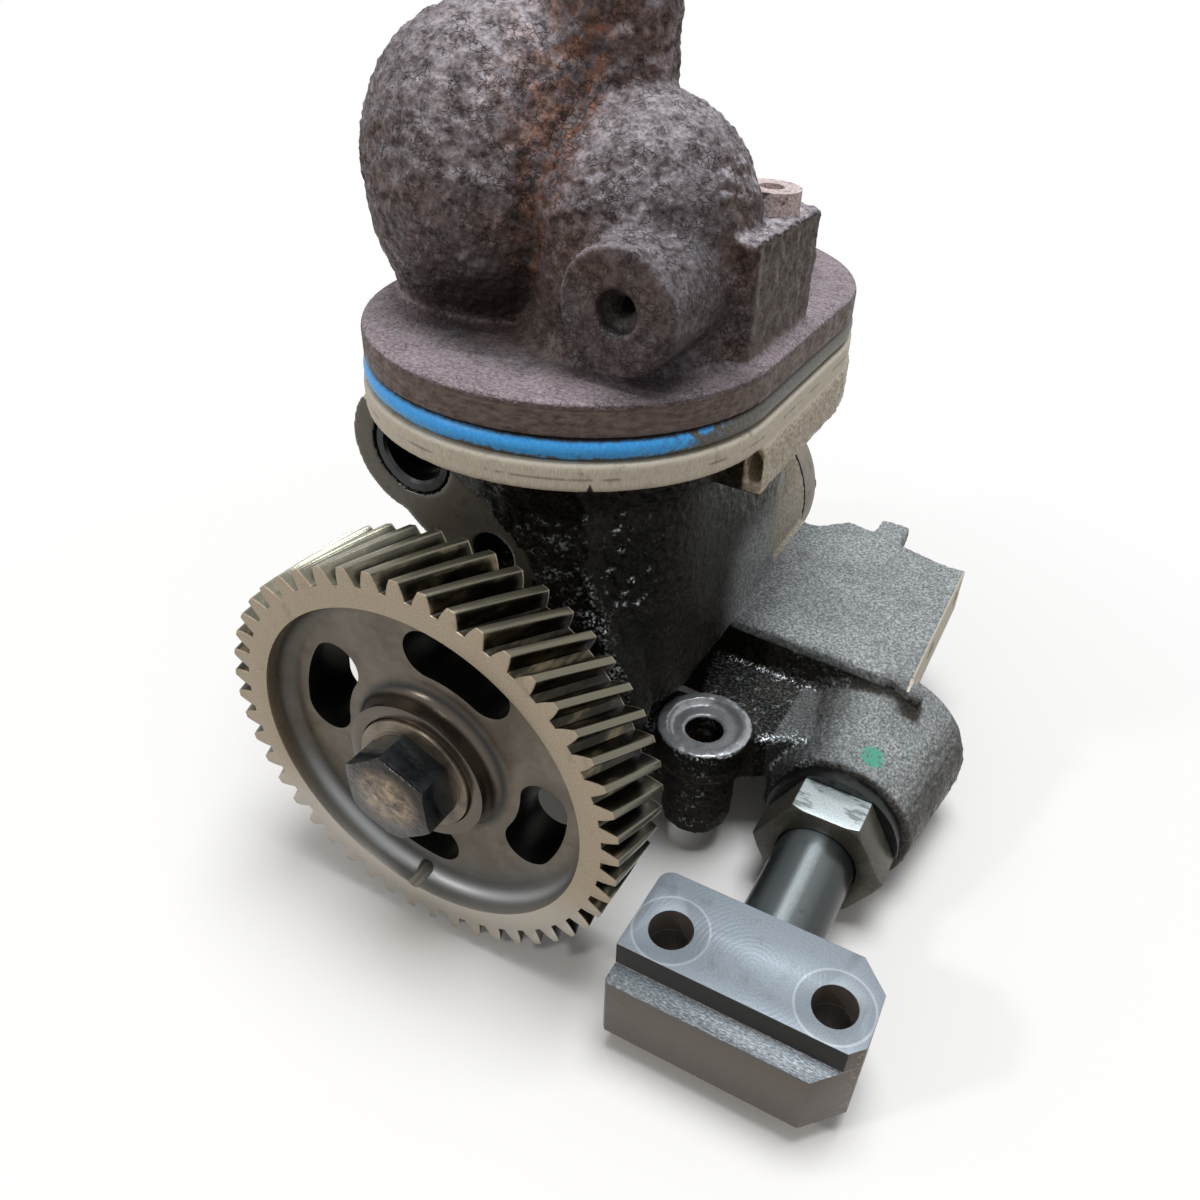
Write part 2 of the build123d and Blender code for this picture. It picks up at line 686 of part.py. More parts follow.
def locating_sleeve():
    y1 = mount_face_y + sleeve_length
    sleeve = rod_y(sleeve_outer_r - seat_gap, mount_face_y + 0.4, y1, ear_x, ear_z)
    sleeve -= rod_y(sleeve_inner_r, mount_face_y - 1, y1 + 1, ear_x, ear_z)
    return chamfer(sleeve.edges().filter_by(GeomType.CIRCLE).group_by(Axis.Y)[0], 0.9)


def manifold_seal():
    """Ring of the flange's outline with a fully rounded outer edge."""
    ring = slot_z(seal_r, pilot_top_z, plate_bottom_z)
    outer = ring.edges().filter_by(Plane.XY)
    ring = fillet(outer, seal_height / 2 - 0.1)
    ring -= slot_z(seal_r - seal_width, pilot_top_z - 1, plate_bottom_z + 1)
    for x, y, _ in screw_seats:
        ring -= rod_z(screw_r + 0.4, pilot_top_z - 1, plate_bottom_z + 1, x, y)
    return ring


def left_lobe(shrink=0.0):
    """Bulging left half of the manifold: height, centre x, half width and half depth of each ring."""
    base = plate_top_z - 2.0
    rings = [(0.0, lobe_foot_x, lobe_foot_rx, lobe_foot_ry), (9.0, -29.0, 33.0, 30.0),
             (23.0, -27.0, 36.0, 38.0), (41.0, -26.5, 36.5, 41.0), (60.0, -25.0, 33.0, 38.0),
             (74.0, -22.0, 24.0, 29.0), (81.0, -20.0, 12.0, 15.0)]
    faces = [Pos(x, dome_y, base + h) * Ellipse(rx - shrink, ry - shrink) for h, x, rx, ry in rings]
    return loft(faces[:-1] if shrink else faces)


def right_dome(shrink=0.0):
    """Turned right half of the manifold."""
    radius = dome_r - shrink
    foot = plate_top_z - 1.0 - shrink
    profile = Polyline((0, foot), (dome_base_r - shrink, foot), (radius, foot + 8 + shrink),
                       (radius, dome_centre_z))
    cap = CenterArc((0, dome_centre_z), radius, 0, 90)
    spine = Line((0, dome_centre_z + radius), (0, foot))
    face = Rot(90, 0, 0) * make_face(profile + cap + spine)
    return Pos(dome_x, dome_y, 0) * revolve(face, Axis.Z)


def top_manifold():
    body = slot_z(plate_r, plate_bottom_z, plate_top_z)
    body = chamfer(body.edges().filter_by(Plane.XY).group_by(Axis.Z)[-1], 0.8)
    body += left_lobe()
    body += right_dome()
    body += rod_z(neck_pipe_r, dome_centre_z, neck_pipe_top_z, neck_pipe_x, neck_pipe_y)
    body += rod_y(front_boss_r, front_boss_face_y, dome_y, front_boss_x, front_boss_z)
    body += slab(pillar_x0, pillar_x1, pillar_y0, pillar_y1, plate_top_z - 1, pillar_top_z)
    for x, y, seat in screw_seats[1:]:
        body += rod_z(screw_boss_r, plate_top_z - 1, seat, x, y)
    body -= left_lobe(manifold_wall)
    body -= right_dome(manifold_wall)
    body -= rod_z(dome_base_r - manifold_wall, plate_bottom_z - 1, plate_top_z + 2, dome_x, dome_y)
    body -= Pos(lobe_foot_x, dome_y, plate_bottom_z - 1) * extrude(
        Ellipse(lobe_foot_rx - manifold_wall, lobe_foot_ry - manifold_wall), plate_thickness + 3)
    body -= rod_z(neck_pipe_bore_r, dome_centre_z, neck_pipe_top_z + 1, neck_pipe_x, neck_pipe_y)
    body -= rod_y(port_step_r, front_boss_face_y - 1, front_boss_face_y + port_step_depth,
                  front_boss_x, front_boss_z)
    body -= rod_y(port_hole_r, front_boss_face_y, dome_y - 20, front_boss_x, front_boss_z)
    for x, y, seat in screw_seats:
        body -= rod_z(screw_r + 0.4, plate_bottom_z - 1, seat + 1, x, y)
        body -= rod_z(screw_head_r + 1, seat, neck_pipe_top_z, x, y)
    return body


def manifold_screws():
    """Long socket-head screws that clamp the manifold and its seal to the housing."""
    screws = []
    for x, y, seat in screw_seats:
        screw = rod_z(screw_head_r, seat, seat + screw_head, x, y)
        screw += rod_z(screw_r - seat_gap, pilot_top_z - screw_depth, seat, x, y)
        screw -= rod_z(screw_socket_r, seat + screw_head - 4, seat + screw_head + 1, x, y)
        screws.append(screw)
    return screws


def delivery_union():
    union = rod_y(collar_r, collar_front_y, boss_front_y, line_x, line_z)
    union += rod_y(union_stub_r, union_stub_y, collar_front_y, line_x, line_z)
    union += rod_y(boss_bore_r - seat_gap, boss_front_y, boss_front_y + boss_bore_length - 1, line_x, line_z)
    union -= rod_y(tube_bore_r, union_stub_y - 1, boss_front_y + boss_bore_length + 1, line_x, line_z)
    return union - rod_y(tube_r + 0.1, union_stub_y - 1, tube_end_y + 0.1, line_x, line_z)


def tube_ferrule():
    start = nut_front_y + nut_front_wall
    ring = cone_y(tube_r + ferrule_wall, tube_r + ferrule_wall * 0.6, start, union_stub_y, line_x, line_z)
    return ring - rod_y(tube_r + seat_gap, start - 1, union_stub_y + 1, line_x, line_z)


def gland_nut():
    nut = hexagon_y(nut_af, nut_front_y, collar_front_y, line_x, line_z)
    corner_r = nut_af / math.sqrt(3)
    nut &= cone_y(corner_r - 2.2, corner_r + nut_length * 1.6, nut_front_y, collar_front_y, line_x, line_z)
    nut -= rod_y(tube_r + 0.3, nut_front_y - 1, collar_front_y + 1, line_x, line_z)
    stub_space_y = nut_front_y + nut_front_wall
    return nut - rod_y(union_stub_r + seat_gap, stub_space_y, collar_front_y + 1, line_x, line_z)


def outlet_tube():
    tube = rod_y(tube_r, tube_start_y, tube_end_y, line_x, line_z)
    return tube - rod_y(tube_bore_r, tube_start_y - 1, tube_end_y + 1, line_x, line_z)


def connector_block():
    upper_corner = block_x1 - block_corner + ledge_depth
    upper = Polyline((block_x0, block_front_y), (upper_corner, block_front_y),
                     (block_x1, block_front_y + block_x1 - upper_corner),
                     (block_x1, block_back_y - block_bevel), (block_x1 - block_bevel, block_back_y),
                     (block_x0, block_back_y), close=True)
    block = Pos(0, 0, block_bottom_z) * extrude(make_face(upper), block_top_z - block_bottom_z)
    back_left = block.edges().filter_by(Axis.Z).group_by(Axis.Y)[-1].sort_by(Axis.X)[0]
    block = fillet(back_left, block_round)
    ledge_y = block_front_y - ledge_depth
    lower = Polyline((block_x0 + 1, ledge_y), (block_x1 - block_corner, ledge_y),
                     (block_x1, ledge_y + block_corner), (block_x1, block_hole_y), (block_x0, block_hole_y),
                     (block_x0, ledge_y + 1), close=True)
    block += Pos(0, 0, block_bottom_z) * extrude(make_face(lower), block_top_z - ledge_drop - block_bottom_z)
    middle = (block_x0 + block_x1) / 2
    for side in (-0.5, 0.5):
        hole_x = middle + side * block_hole_spacing
        block -= rod_z(block_hole_r, block_bottom_z - 1, block_top_z + 1, hole_x, block_hole_y)
    block -= rod_y(tube_r + seat_gap, tube_start_y, block_back_y + 1, line_x, line_z)
    block -= rod_y(block_port_r, block_hole_y, tube_start_y + 1, line_x, line_z)
    block -= rod_z(block_port_r, block_bottom_z - 1, line_z, line_x, block_hole_y)
    groove = rod_z(ring_mid_r + ring_wire_r, block_bottom_z - 1, block_bottom_z + ring_groove,
                   line_x, block_hole_y)
    groove -= rod_z(ring_mid_r - ring_wire_r, block_bottom_z - 2, block_bottom_z + ring_groove + 1,
                    line_x, block_hole_y)
    return block - groove


def block_ring():
    ring = Torus(ring_mid_r, ring_wire_r - 0.02)
    return Pos(line_x, block_hole_y, block_bottom_z + ring_groove - ring_wire_r) * ring


def relief_plunger():
    """Cup-shaped plunger, open towards the spring."""
    low = valve_seat_z - plunger_length
    plunger = rod_z(valve_bore_r - running_gap, low, valve_seat_z - end_gap, valve_x, valve_y)
    return plunger - rod_z(valve_bore_r - plunger_wall, low - 1, plunger_pocket_z, valve_x, valve_y)


def relief_plug():
    plug = rod_z(valve_bore_r - seat_gap, valve_mouth_z, valve_plug_inner_z, valve_x, valve_y)
    flange_z = valve_mouth_z - valve_plug_flange
    plug += rod_z(valve_boss_r - 3, flange_z, valve_mouth_z, valve_x, valve_y)
    head = extrude(RegularPolygon(valve_plug_af / 2, 6, major_radius=False), valve_plug_head)
    return plug + Pos(valve_x, valve_y, flange_z - valve_plug_head) * head


def relief_spring():
    """Open coil between the plug and the plunger's crown."""
    low = valve_plug_inner_z + spring_wire_r + end_gap
    high = plunger_pocket_z - spring_wire_r - end_gap
    mean_r = valve_bore_r - plunger_wall - spring_wire_r - 0.3
    path = Helix((high - low) / spring_turns, high - low, mean_r)
    section = Plane(path @ 0, z_dir=path % 0) * Circle(spring_wire_r)
    return Pos(valve_x, valve_y, low) * sweep(section, path)


def write(name, shape):
    """Write one sub-part; a list becomes one node with several solids."""
    if isinstance(shape, list):
        shape = Compound(children=[piece.solid() for piece in shape])
    shape.label = name
    export_step(shape, os.path.join("parts", name + ".step"))


os.makedirs("parts", exist_ok=True)
write("pump_housing", pump_housing())
write("top_manifold", top_manifold())
write("manifold_seal", manifold_seal())
write("manifold_screws", manifold_screws())
write("drive_gear", drive_gear())
write("gear_washer", gear_washer())
write("gear_bolt", gear_bolt())
write("drive_shaft", drive_shaft())
write("gear_key", nose_key())
write("pump_gear_key", pump_key())
write("thrust_washer", thrust_washer())
write("front_bushing", bushing(journal_r + running_gap, bush_outer_r, front_bush_y, bush_length))
write("rear_bushing", bushing(journal_r + running_gap, bush_outer_r, rear_bush_y, bush_length))
write("cover_bushing", bushing(tail_r + running_gap, tail_r + cover_bush_wall, cover_front_y, tail_length))
write("pump_drive_gear", pump_drive_gear())
write("pump_driven_gear", pump_driven_gear())
write("idler_bushing", idler_bushing())
write("idler_shaft", idler_shaft())
write("rear_cover", rear_cover())
write("cover_gasket", cover_gasket())
write("cover_screws", cover_screws())
write("cover_dowels", cover_dowels())
write("locating_sleeve", locating_sleeve())
write("delivery_union", delivery_union())
write("tube_ferrule", tube_ferrule())
write("gland_nut", gland_nut())
write("outlet_tube", outlet_tube())
write("connector_block", connector_block())
write("block_ring", block_ring())
write("relief_plunger", relief_plunger())
write("relief_spring", relief_spring())
write("relief_plug", relief_plug())
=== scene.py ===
import json
import math

import bmesh
import bpy
import numpy as np
from mathutils import Matrix, Vector


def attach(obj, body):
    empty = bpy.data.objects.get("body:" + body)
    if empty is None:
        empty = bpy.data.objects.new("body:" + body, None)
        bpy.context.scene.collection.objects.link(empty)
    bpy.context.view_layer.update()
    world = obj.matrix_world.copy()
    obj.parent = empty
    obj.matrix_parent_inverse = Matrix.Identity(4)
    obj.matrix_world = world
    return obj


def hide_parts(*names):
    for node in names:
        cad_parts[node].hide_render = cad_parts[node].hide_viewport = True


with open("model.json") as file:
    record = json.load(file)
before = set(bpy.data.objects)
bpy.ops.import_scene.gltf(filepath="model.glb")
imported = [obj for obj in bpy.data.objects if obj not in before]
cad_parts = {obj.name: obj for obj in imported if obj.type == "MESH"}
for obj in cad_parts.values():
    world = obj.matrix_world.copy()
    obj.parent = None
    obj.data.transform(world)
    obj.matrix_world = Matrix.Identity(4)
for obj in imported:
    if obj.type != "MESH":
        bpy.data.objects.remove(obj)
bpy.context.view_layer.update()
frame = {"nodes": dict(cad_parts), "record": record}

NODES = frame["nodes"]
BODIES = frame["record"]["behaviour"]["bodies"]
MM = 0.001
X, Y, Z = 0, 1, 2
WEIGHT_LEVELS = 8

# ---- camera: where the photograph was taken from, in the frame's millimetres ----
IMAGE_SIZE = 1200
FOCAL_PX = 981.4
AXIS_PX = 700.0          # column that the camera's axis passes through
CAMERA_MM = (147.7, -155.5, 214.6)
YAW_DEG = 22.25
PITCH_DEG = 35.52
ROLL_DEG = 5.77
SENSOR_MM = 36.0

# ---- floor and light ----
FLOOR_Z_MM = -73.2
FLOOR_SIZE = 6.0
SKY_STRENGTH = 0.34

# ---- places that the looks follow, in millimetres in the frame ----
FLANGE_FRONT_Y = 90.0
FLANGE_BACK_Y = 155.0
PILOT_BOTTOM_Z = 86.6
PLATE_TOP_Z = 111.3
PLATE_BOTTOM_Z = 101.7
MOUNT_FACE_Y = 50.0
LIP_FACE_Y = 88.0
PAD_X = 117.0
PAD_BOTTOM_Z = -26.0
ARM_FRONT_Y = 124.0
NUB_END_X = 122.5
NUB_BACK_Y = 128.0
NUB_BOTTOM_Z = -18.0
LUG = (57.5, 81.0, -20.5)
LUG_R = 17.0
FRONT_BOSS = (34.6, 131.0)
FRONT_BOSS_R = 16.2
FRONT_BOSS_Y = 49.0
BLOCK_TOP_Z = -30.0
BLOCK_FRONT_Y = -3.0
BLOCK_LEDGE_Z = -39.3
BLOCK_END_X = 144.5
BLOCK_RINGS = (107.7, 8.7)
BLOCK_HOLES = ((82.0, 8.5), (132.8, 8.5))
BLOCK_SPOT_R = 11.4
PAINT_SPOT = (114.1, 96.8, -19.6)
DELIVERY_AXIS = (107.7, -47.2)
DRIVE_AXIS = (0.0, 0.0)
BAND_NOTCH = (35.0, 37.6, 88.0)
BAND_LINE_Z = 90.6
GEAR_TIP_R = 68.2
GEAR_ROOT_R = 62.55
GEAR_RIM_INNER_R = 55.8
GEAR_FACE = 26.0
GEAR_HUB_R = 23.5
GEAR_SLOT_R = (31.0, 47.0)
BOLT_FACE_Y = -12.6
PLATE_R = 62.1
PILLAR_FRONT_Y = 82.0
PILLAR_RIGHT_X = 57.0
PILLAR_TOP_Z = 144.6
BORE_R = 21.0
PUMP_CENTRES = 36.0
LIP_BOTTOM_Z = 71.0
LIP_R = 63.8
NECK_R = 47.0
RIDGE_X = 27.2
RIDGE_BEND_Z = 50.2
RIDGE_SLOPE = 0.30


# ======== materials ========

class Look:
    """One procedural material, with short names for the nodes that it uses most."""

    def __init__(self, name, rough=0.5, metal=0.0, **sockets):
        self.mat = bpy.data.materials.new(name)
        self.mat.use_nodes = True
        self.tree = self.mat.node_tree
        self.shader = self.tree.nodes["Principled BSDF"]
        self.set(Roughness=rough, Metallic=metal)
        for socket, value in sockets.items():
            self.shader.inputs[socket.replace("_", " ")].default_value = value
        self.place = self.add("TexCoord").outputs["Object"]

    def add(self, kind, **settings):
        node = self.tree.nodes.new("ShaderNode" + kind)
        for key, value in settings.items():
            setattr(node, key, value)
        return node

    def wire(self, source, target):
        """Link a socket, or set a plain value."""
        if isinstance(source, bpy.types.NodeSocket):
            self.tree.links.new(source, target)
        elif isinstance(source, tuple) and len(source) == 3 and target.type == "RGBA":
            target.default_value = (*source, 1)
        else:
            target.default_value = source

    def set(self, **sockets):
        for socket, value in sockets.items():
            self.wire(value, self.shader.inputs[socket.replace("_", " ")])

    def noise(self, size_mm, detail=4.0, rough=0.6, twist=0.0, place=None):
        node = self.add("TexNoise")
        self.wire(place or self.place, node.inputs["Vector"])
        self.wire(1 / (size_mm * MM), node.inputs["Scale"])
        self.wire(detail, node.inputs["Detail"])
        self.wire(rough, node.inputs["Roughness"])
        self.wire(twist, node.inputs["Distortion"])
        return node.outputs["Fac"]

    def cells(self, size_mm, feature="F1", place=None, output="Distance"):
        node = self.add("TexVoronoi", feature=feature)
        self.wire(place or self.place, node.inputs["Vector"])
        self.wire(1 / (size_mm * MM), node.inputs["Scale"])
        return node.outputs[output]

    def warped(self, size_mm, amount_mm):
        """Coordinates pushed about by noise, so that cells lose their straight edges."""
        node = self.add("TexNoise")
        self.wire(self.place, node.inputs["Vector"])
        self.wire(1 / (size_mm * MM), node.inputs["Scale"])
        self.wire(3.0, node.inputs["Detail"])
        push = self.add("VectorMath", operation="MULTIPLY_ADD")
        self.wire(node.outputs["Color"], push.inputs[0])
        push.inputs[1].default_value = (amount_mm * MM,) * 3
        self.wire(self.place, push.inputs[2])
        return push.outputs["Vector"]

    def stretch(self, x, y, z):
        """Coordinates squeezed along each axis, for grain with a direction."""
        node = self.add("Mapping")
        self.wire(self.place, node.inputs["Vector"])
        node.inputs["Scale"].default_value = (x, y, z)
        return node.outputs["Vector"]

    def ramp(self, value, *stops):
        """Colour ramp; each stop is a position and a grey level or a colour."""
        node = self.add("ValToRGB")
        self.wire(value, node.inputs["Fac"])
        marks = node.color_ramp.elements
        while len(marks) < len(stops):
            marks.new(1.0)
        for mark, (position, colour) in zip(marks, stops):
            mark.position = position
            colour = (colour,) * 3 if isinstance(colour, float) else colour
            mark.color = (*colour, 1)
        return node.outputs["Color"]

    def math(self, operation, a, b=0.0, clamp=False):
        node = self.add("Math", operation=operation, use_clamp=clamp)
        self.wire(a, node.inputs[0])
        self.wire(b, node.inputs[1])
        return node.outputs[0]

    def mix(self, share, a, b):
        node = self.add("Mix", data_type="RGBA", clamp_factor=True)
        self.wire(share, node.inputs[0])
        self.wire(a, node.inputs[6])
        self.wire(b, node.inputs[7])
        return node.outputs[2]

    def bump(self, height, depth_mm, strength=1.0, below=None):
        node = self.add("Bump")
        self.wire(height, node.inputs["Height"])
        node.inputs["Distance"].default_value = depth_mm * MM
        node.inputs["Strength"].default_value = strength
        if below is not None:
            self.wire(below, node.inputs["Normal"])
        return node.outputs["Normal"]

    def attribute(self, name):
        node = self.add("Attribute", attribute_name=name)
        return node.outputs["Fac"]

    def axis(self, letter):
        """One object coordinate, in millimetres."""
        split = self.add("SeparateXYZ")
        self.wire(self.place, split.inputs[0])
        return self.math("MULTIPLY", split.outputs[letter], 1 / MM)

    def facing(self, letter):
        """One coordinate of the surface's direction, in the piece's own frame."""
        split = self.add("SeparateXYZ")
        self.wire(self.add("TexCoord").outputs["Normal"], split.inputs[0])
        return split.outputs[letter]

    def radius(self, centre, letters):
        """Distance from an axis or a point, in millimetres; letters name the coordinates that count."""
        total = 0.0
        for letter, middle in zip(letters, centre):
            offset = self.math("SUBTRACT", self.axis(letter), middle)
            total = self.math("ADD", self.math("MULTIPLY", offset, offset), total)
        return self.math("SQRT", total)

    def rings(self, distance, pitch_mm):
        """Lathe or mill marks: a wave of the distance from an axis."""
        return self.math("SINE", self.math("MULTIPLY", distance, 2 * math.pi / pitch_mm))

    def band(self, value, start, end):
        """0 below start, 1 above end, smooth between them."""
        node = self.add("MapRange", interpolation_type="SMOOTHSTEP")
        self.wire(value, node.inputs["Value"])
        node.inputs["From Min"].default_value = start
        node.inputs["From Max"].default_value = end
        return node.outputs["Result"]


def rust_look():
    """Scaly rusted iron: brown-black in the pits, lilac-grey on random crests and orange where water ran,
    with painted light from above that makes faces looking up more lilac, pale painted highlights and
    painted shade.
    """
    look = Look("rusty_casting", rough=0.8, metal=0.0, Specular_IOR_Level=0.3)
    grain = look.noise(1.1, 3, 0.6)
    scale = look.noise(4.0, 5, 0.62)
    broad = look.noise(26, 3, 0.6)
    warped = look.warped(2.2, 3.4)
    flake = look.add("SeparateXYZ")
    look.wire(look.cells(2.1, place=warped, output="Color"), flake.inputs[0])
    crack = look.band(look.cells(2.1, "DISTANCE_TO_EDGE", warped), 0.0, 0.12)
    crack = look.math("MAXIMUM", crack, look.band(look.noise(6, 3, 0.6), 0.60, 0.44))
    mixed = look.math("ADD", look.math("MULTIPLY", grain, 0.42), look.math("MULTIPLY", scale, 0.58))
    relief = look.math("ADD", look.math("MULTIPLY", grain, 0.14), look.math("MULTIPLY", scale, 0.36))
    relief = look.math("ADD", relief, look.math("MULTIPLY", flake.outputs[0], 0.32))
    relief = look.math("ADD", relief, look.math("MULTIPLY", crack, 0.12))
    flaked = look.math("MULTIPLY", look.math("SUBTRACT", flake.outputs[0], 0.5), 0.06)
    tint = look.math("ADD", mixed, flaked)
    brown = look.ramp(tint, (0.36, (0.032, 0.019, 0.017)), (0.5, (0.125, 0.078, 0.067)),
                      (0.64, (0.225, 0.165, 0.155)))
    lilac = look.ramp(tint, (0.36, (0.060, 0.047, 0.050)), (0.5, (0.168, 0.146, 0.158)),
                      (0.64, (0.29, 0.262, 0.292)))
    # Painted light from above: faces that look up are pushed towards lilac.
    top_light = look.math("MULTIPLY", look.attribute("lit_from_above"), 0.34)
    crest_and_top_light = look.band(look.math("ADD", broad, top_light), 0.32, 0.70)
    colour = look.mix(crest_and_top_light, brown, lilac)
    orange = look.ramp(tint, (0.38, (0.060, 0.021, 0.010)), (0.52, (0.25, 0.088, 0.034)),
                       (0.66, (0.46, 0.20, 0.10)))
    speckle = look.math("MULTIPLY", look.band(look.noise(11, 5, 0.75), 0.60, 0.70), 0.5)
    speckle = look.math("MULTIPLY", speckle, look.attribute("cast"))
    patch = look.math("MAXIMUM", look.attribute("orange"), speckle)
    patch = look.math("MULTIPLY", patch, look.band(look.noise(5, 4, 0.7), 0.40, 0.60))
    colour = look.mix(patch, colour, orange)
    mauve = look.ramp(grain, (0.30, (0.15, 0.112, 0.118)), (0.5, (0.265, 0.215, 0.235)),
                      (0.7, (0.37, 0.315, 0.34)))
    colour = look.mix(look.attribute("dusty"), colour, mauve)
    # Painted highlight: pale lilac where the 'pale' values say.
    pale = look.ramp(mixed, (0.38, (0.10, 0.078, 0.080)), (0.49, (0.31, 0.275, 0.295)),
                     (0.60, (0.56, 0.52, 0.56)))
    colour = look.mix(look.attribute("pale"), colour, pale)
    streak = look.noise(1.6, 4, 0.65, place=look.stretch(0.45, 0.45, 1.4))
    side = look.ramp(streak, (0.32, (0.070, 0.046, 0.038)), (0.5, (0.135, 0.098, 0.084)),
                     (0.68, (0.20, 0.155, 0.138)))
    colour = look.mix(look.attribute("side"), colour, side)
    pits = look.math("MULTIPLY", look.math("SUBTRACT", 1.0, crack), 0.5)
    pits = look.math("MULTIPLY", pits, look.attribute("cast"))
    colour = look.mix(pits, colour, (0.022, 0.015, 0.013))
    colour = look.mix(look.attribute("shade"), colour, (0.016, 0.011, 0.009))
    look.set(Base_Color=colour)
    look.set(Roughness=look.ramp(mixed, (0.4, 0.8), (0.6, 0.42)))
    crust = look.math("SUBTRACT", 1.0, look.math("MULTIPLY", look.attribute("side"), 0.75))
    look.set(Normal=look.bump(look.math("MULTIPLY", relief, crust), 2.3, 1.0))
    return look.mat


def screw_rust_look():
    """Pinkish rust of the manifold's screw heads."""
    look = Look("rusty_screw", rough=0.75, metal=0.0, Specular_IOR_Level=0.3)
    grain = look.noise(0.8, 5, 0.7)
    tone = look.ramp(grain, (0.34, (0.30, 0.21, 0.195)), (0.5, (0.70, 0.57, 0.55)),
                     (0.66, (0.90, 0.80, 0.78)))
    look.set(Base_Color=look.mix(look.band(look.noise(4, 4, 0.7), 0.54, 0.70), tone, (0.12, 0.07, 0.058)))
    look.set(Normal=look.bump(grain, 0.7, 0.9))
    return look.mat


def cast_look():
    """Oily black casting, grey where it faces up (partly scrubbed iron, partly painted light from above),
    with painted glints.
    """
    look = Look("oily_casting", rough=0.3, metal=0.0, Specular_IOR_Level=0.05)
    grain = look.noise(1.3, 4, 0.6)
    lumps = look.noise(3.2, 3, 0.5, 0.4)
    broad = look.noise(20, 3, 0.6)
    dark = look.ramp(grain, (0.38, (0.0035, 0.0032, 0.0022)), (0.62, (0.017, 0.0155, 0.0105)))
    warm = look.ramp(grain, (0.36, (0.022, 0.019, 0.014)), (0.64, (0.075, 0.064, 0.048)))
    dried = look.math("MULTIPLY", look.band(broad, 0.48, 0.72), 0.35)
    share = look.math("ADD", dried, look.attribute("dry"), True)
    colour = look.mix(share, dark, warm)
    sand = look.noise(0.95, 3, 0.6)
    # Grey for faces that look up: scrubbed iron and painted light from above.
    bare_and_painted_light = look.ramp(sand, (0.34, (0.165, 0.177, 0.174)), (0.5, (0.33, 0.35, 0.355)),
                     (0.64, (0.60, 0.63, 0.64)))
    sheen = look.mix(look.math("MULTIPLY", look.band(broad, 0.40, 0.62), 0.25), bare_and_painted_light, (0.11, 0.125, 0.13))
    colour = look.mix(look.attribute("bare_and_painted_light"), colour, sheen)
    tan = look.ramp(grain, (0.34, (0.34, 0.285, 0.21)), (0.66, (0.72, 0.62, 0.48)))
    colour = look.mix(look.attribute("tan"), colour, tan)
    ragged = look.math("MULTIPLY", look.noise(1.6, 4, 0.75), 7.0)
    spot = look.math("ADD", look.radius(PAINT_SPOT, (X, Y, Z)), ragged)
    paint = look.math("MULTIPLY", look.band(spot, 8.6, 6.6), look.band(sand, 0.36, 0.5))
    colour = look.mix(paint, colour, (0.10, 0.40, 0.29))
    # Painted glints: small pale metallic specks on bumps where the 'glint' values say.
    painted_glint = look.math("MULTIPLY", look.band(look.noise(1.1, 2, 0.6), 0.49, 0.60), look.attribute("glint"))
    painted_glint = look.math("MULTIPLY", painted_glint, look.math("SUBTRACT", 1.0, look.attribute("bare_and_painted_light")))
    colour = look.mix(painted_glint, colour, (0.50, 0.54, 0.57))
    look.set(Base_Color=colour, Metallic=painted_glint)
    oil = look.band(look.noise(8, 3, 0.6), 0.38, 0.62)
    wet = look.mix(oil, (0.10,) * 3, (0.28,) * 3)
    look.set(Roughness=look.mix(look.attribute("bare_and_painted_light"), wet, (0.55,) * 3))
    height = look.math("ADD", look.math("MULTIPLY", grain, 0.45), look.math("MULTIPLY", lumps, 0.75))
    beads = look.math("MULTIPLY", look.cells(2.4, "SMOOTH_F1"), look.attribute("beads"))
    height = look.math("SUBTRACT", height, look.math("MULTIPLY", beads, 1.2))
    look.set(Normal=look.bump(height, 0.9, 1.0))
    return look.mat


def machined_look(name, colour, dark, rough, grain_mm, metal=0.25):
    """Machined iron or steel: fine grain, with a little grime."""
    look = Look(name, rough=rough, metal=metal, Specular_IOR_Level=0.35)
    grain = look.noise(grain_mm, 3, 0.6)
    dirt = look.noise(9, 5, 0.65)
    tone = look.ramp(grain, (0.3, tuple(0.74 * c for c in colour)), (0.7, colour))
    look.set(Base_Color=look.mix(look.band(dirt, 0.52, 0.8), tone, dark))
    look.set(Normal=look.bump(grain, 0.05, 0.5))
    look.set(Roughness=look.ramp(dirt, (0.35, rough - 0.08), (0.75, min(0.9, rough + 0.2))))
    return look.mat


def band_look():
    """Machined flange rim: warm beige iron with fine upright marks and a thin dark line."""
    look = Look("machined_iron", rough=0.55, metal=0.1, Specular_IOR_Level=0.25)
    marks = look.noise(0.5, 3, 0.6, place=look.stretch(3, 3, 0.25))
    dirt = look.noise(7, 5, 0.7)
    tone = look.ramp(marks, (0.3, (0.46, 0.41, 0.325)), (0.7, (0.74, 0.68, 0.57)))
    line = look.math("MULTIPLY", look.band(look.axis(Z), BAND_LINE_Z + 0.6, BAND_LINE_Z + 0.1),
                     look.band(look.axis(Z), BAND_LINE_Z - 0.6, BAND_LINE_Z - 0.1))
    line = look.math("MULTIPLY", line, look.band(look.noise(14, 3, 0.6), 0.48, 0.56))
    narrow = look.math("MULTIPLY", look.radius(BAND_NOTCH, (X, Y)), 2.4)
    tall = look.math("SUBTRACT", look.axis(Z), BAND_NOTCH[2] - 2)
    notch = look.band(look.math("ADD", look.math("ADD", narrow, tall), look.noise(1.5, 3)), 4.6, 3.4)
    dark = look.math("MAXIMUM", look.math("MULTIPLY", line, 0.45), notch)
    tone = look.mix(look.math("MULTIPLY", look.band(dirt, 0.56, 0.74), 0.6), tone, (0.15, 0.125, 0.095))
    look.set(Base_Color=look.mix(dark, tone, (0.02, 0.016, 0.012)))
    look.set(Normal=look.bump(marks, 0.07, 0.7))
    return look.mat


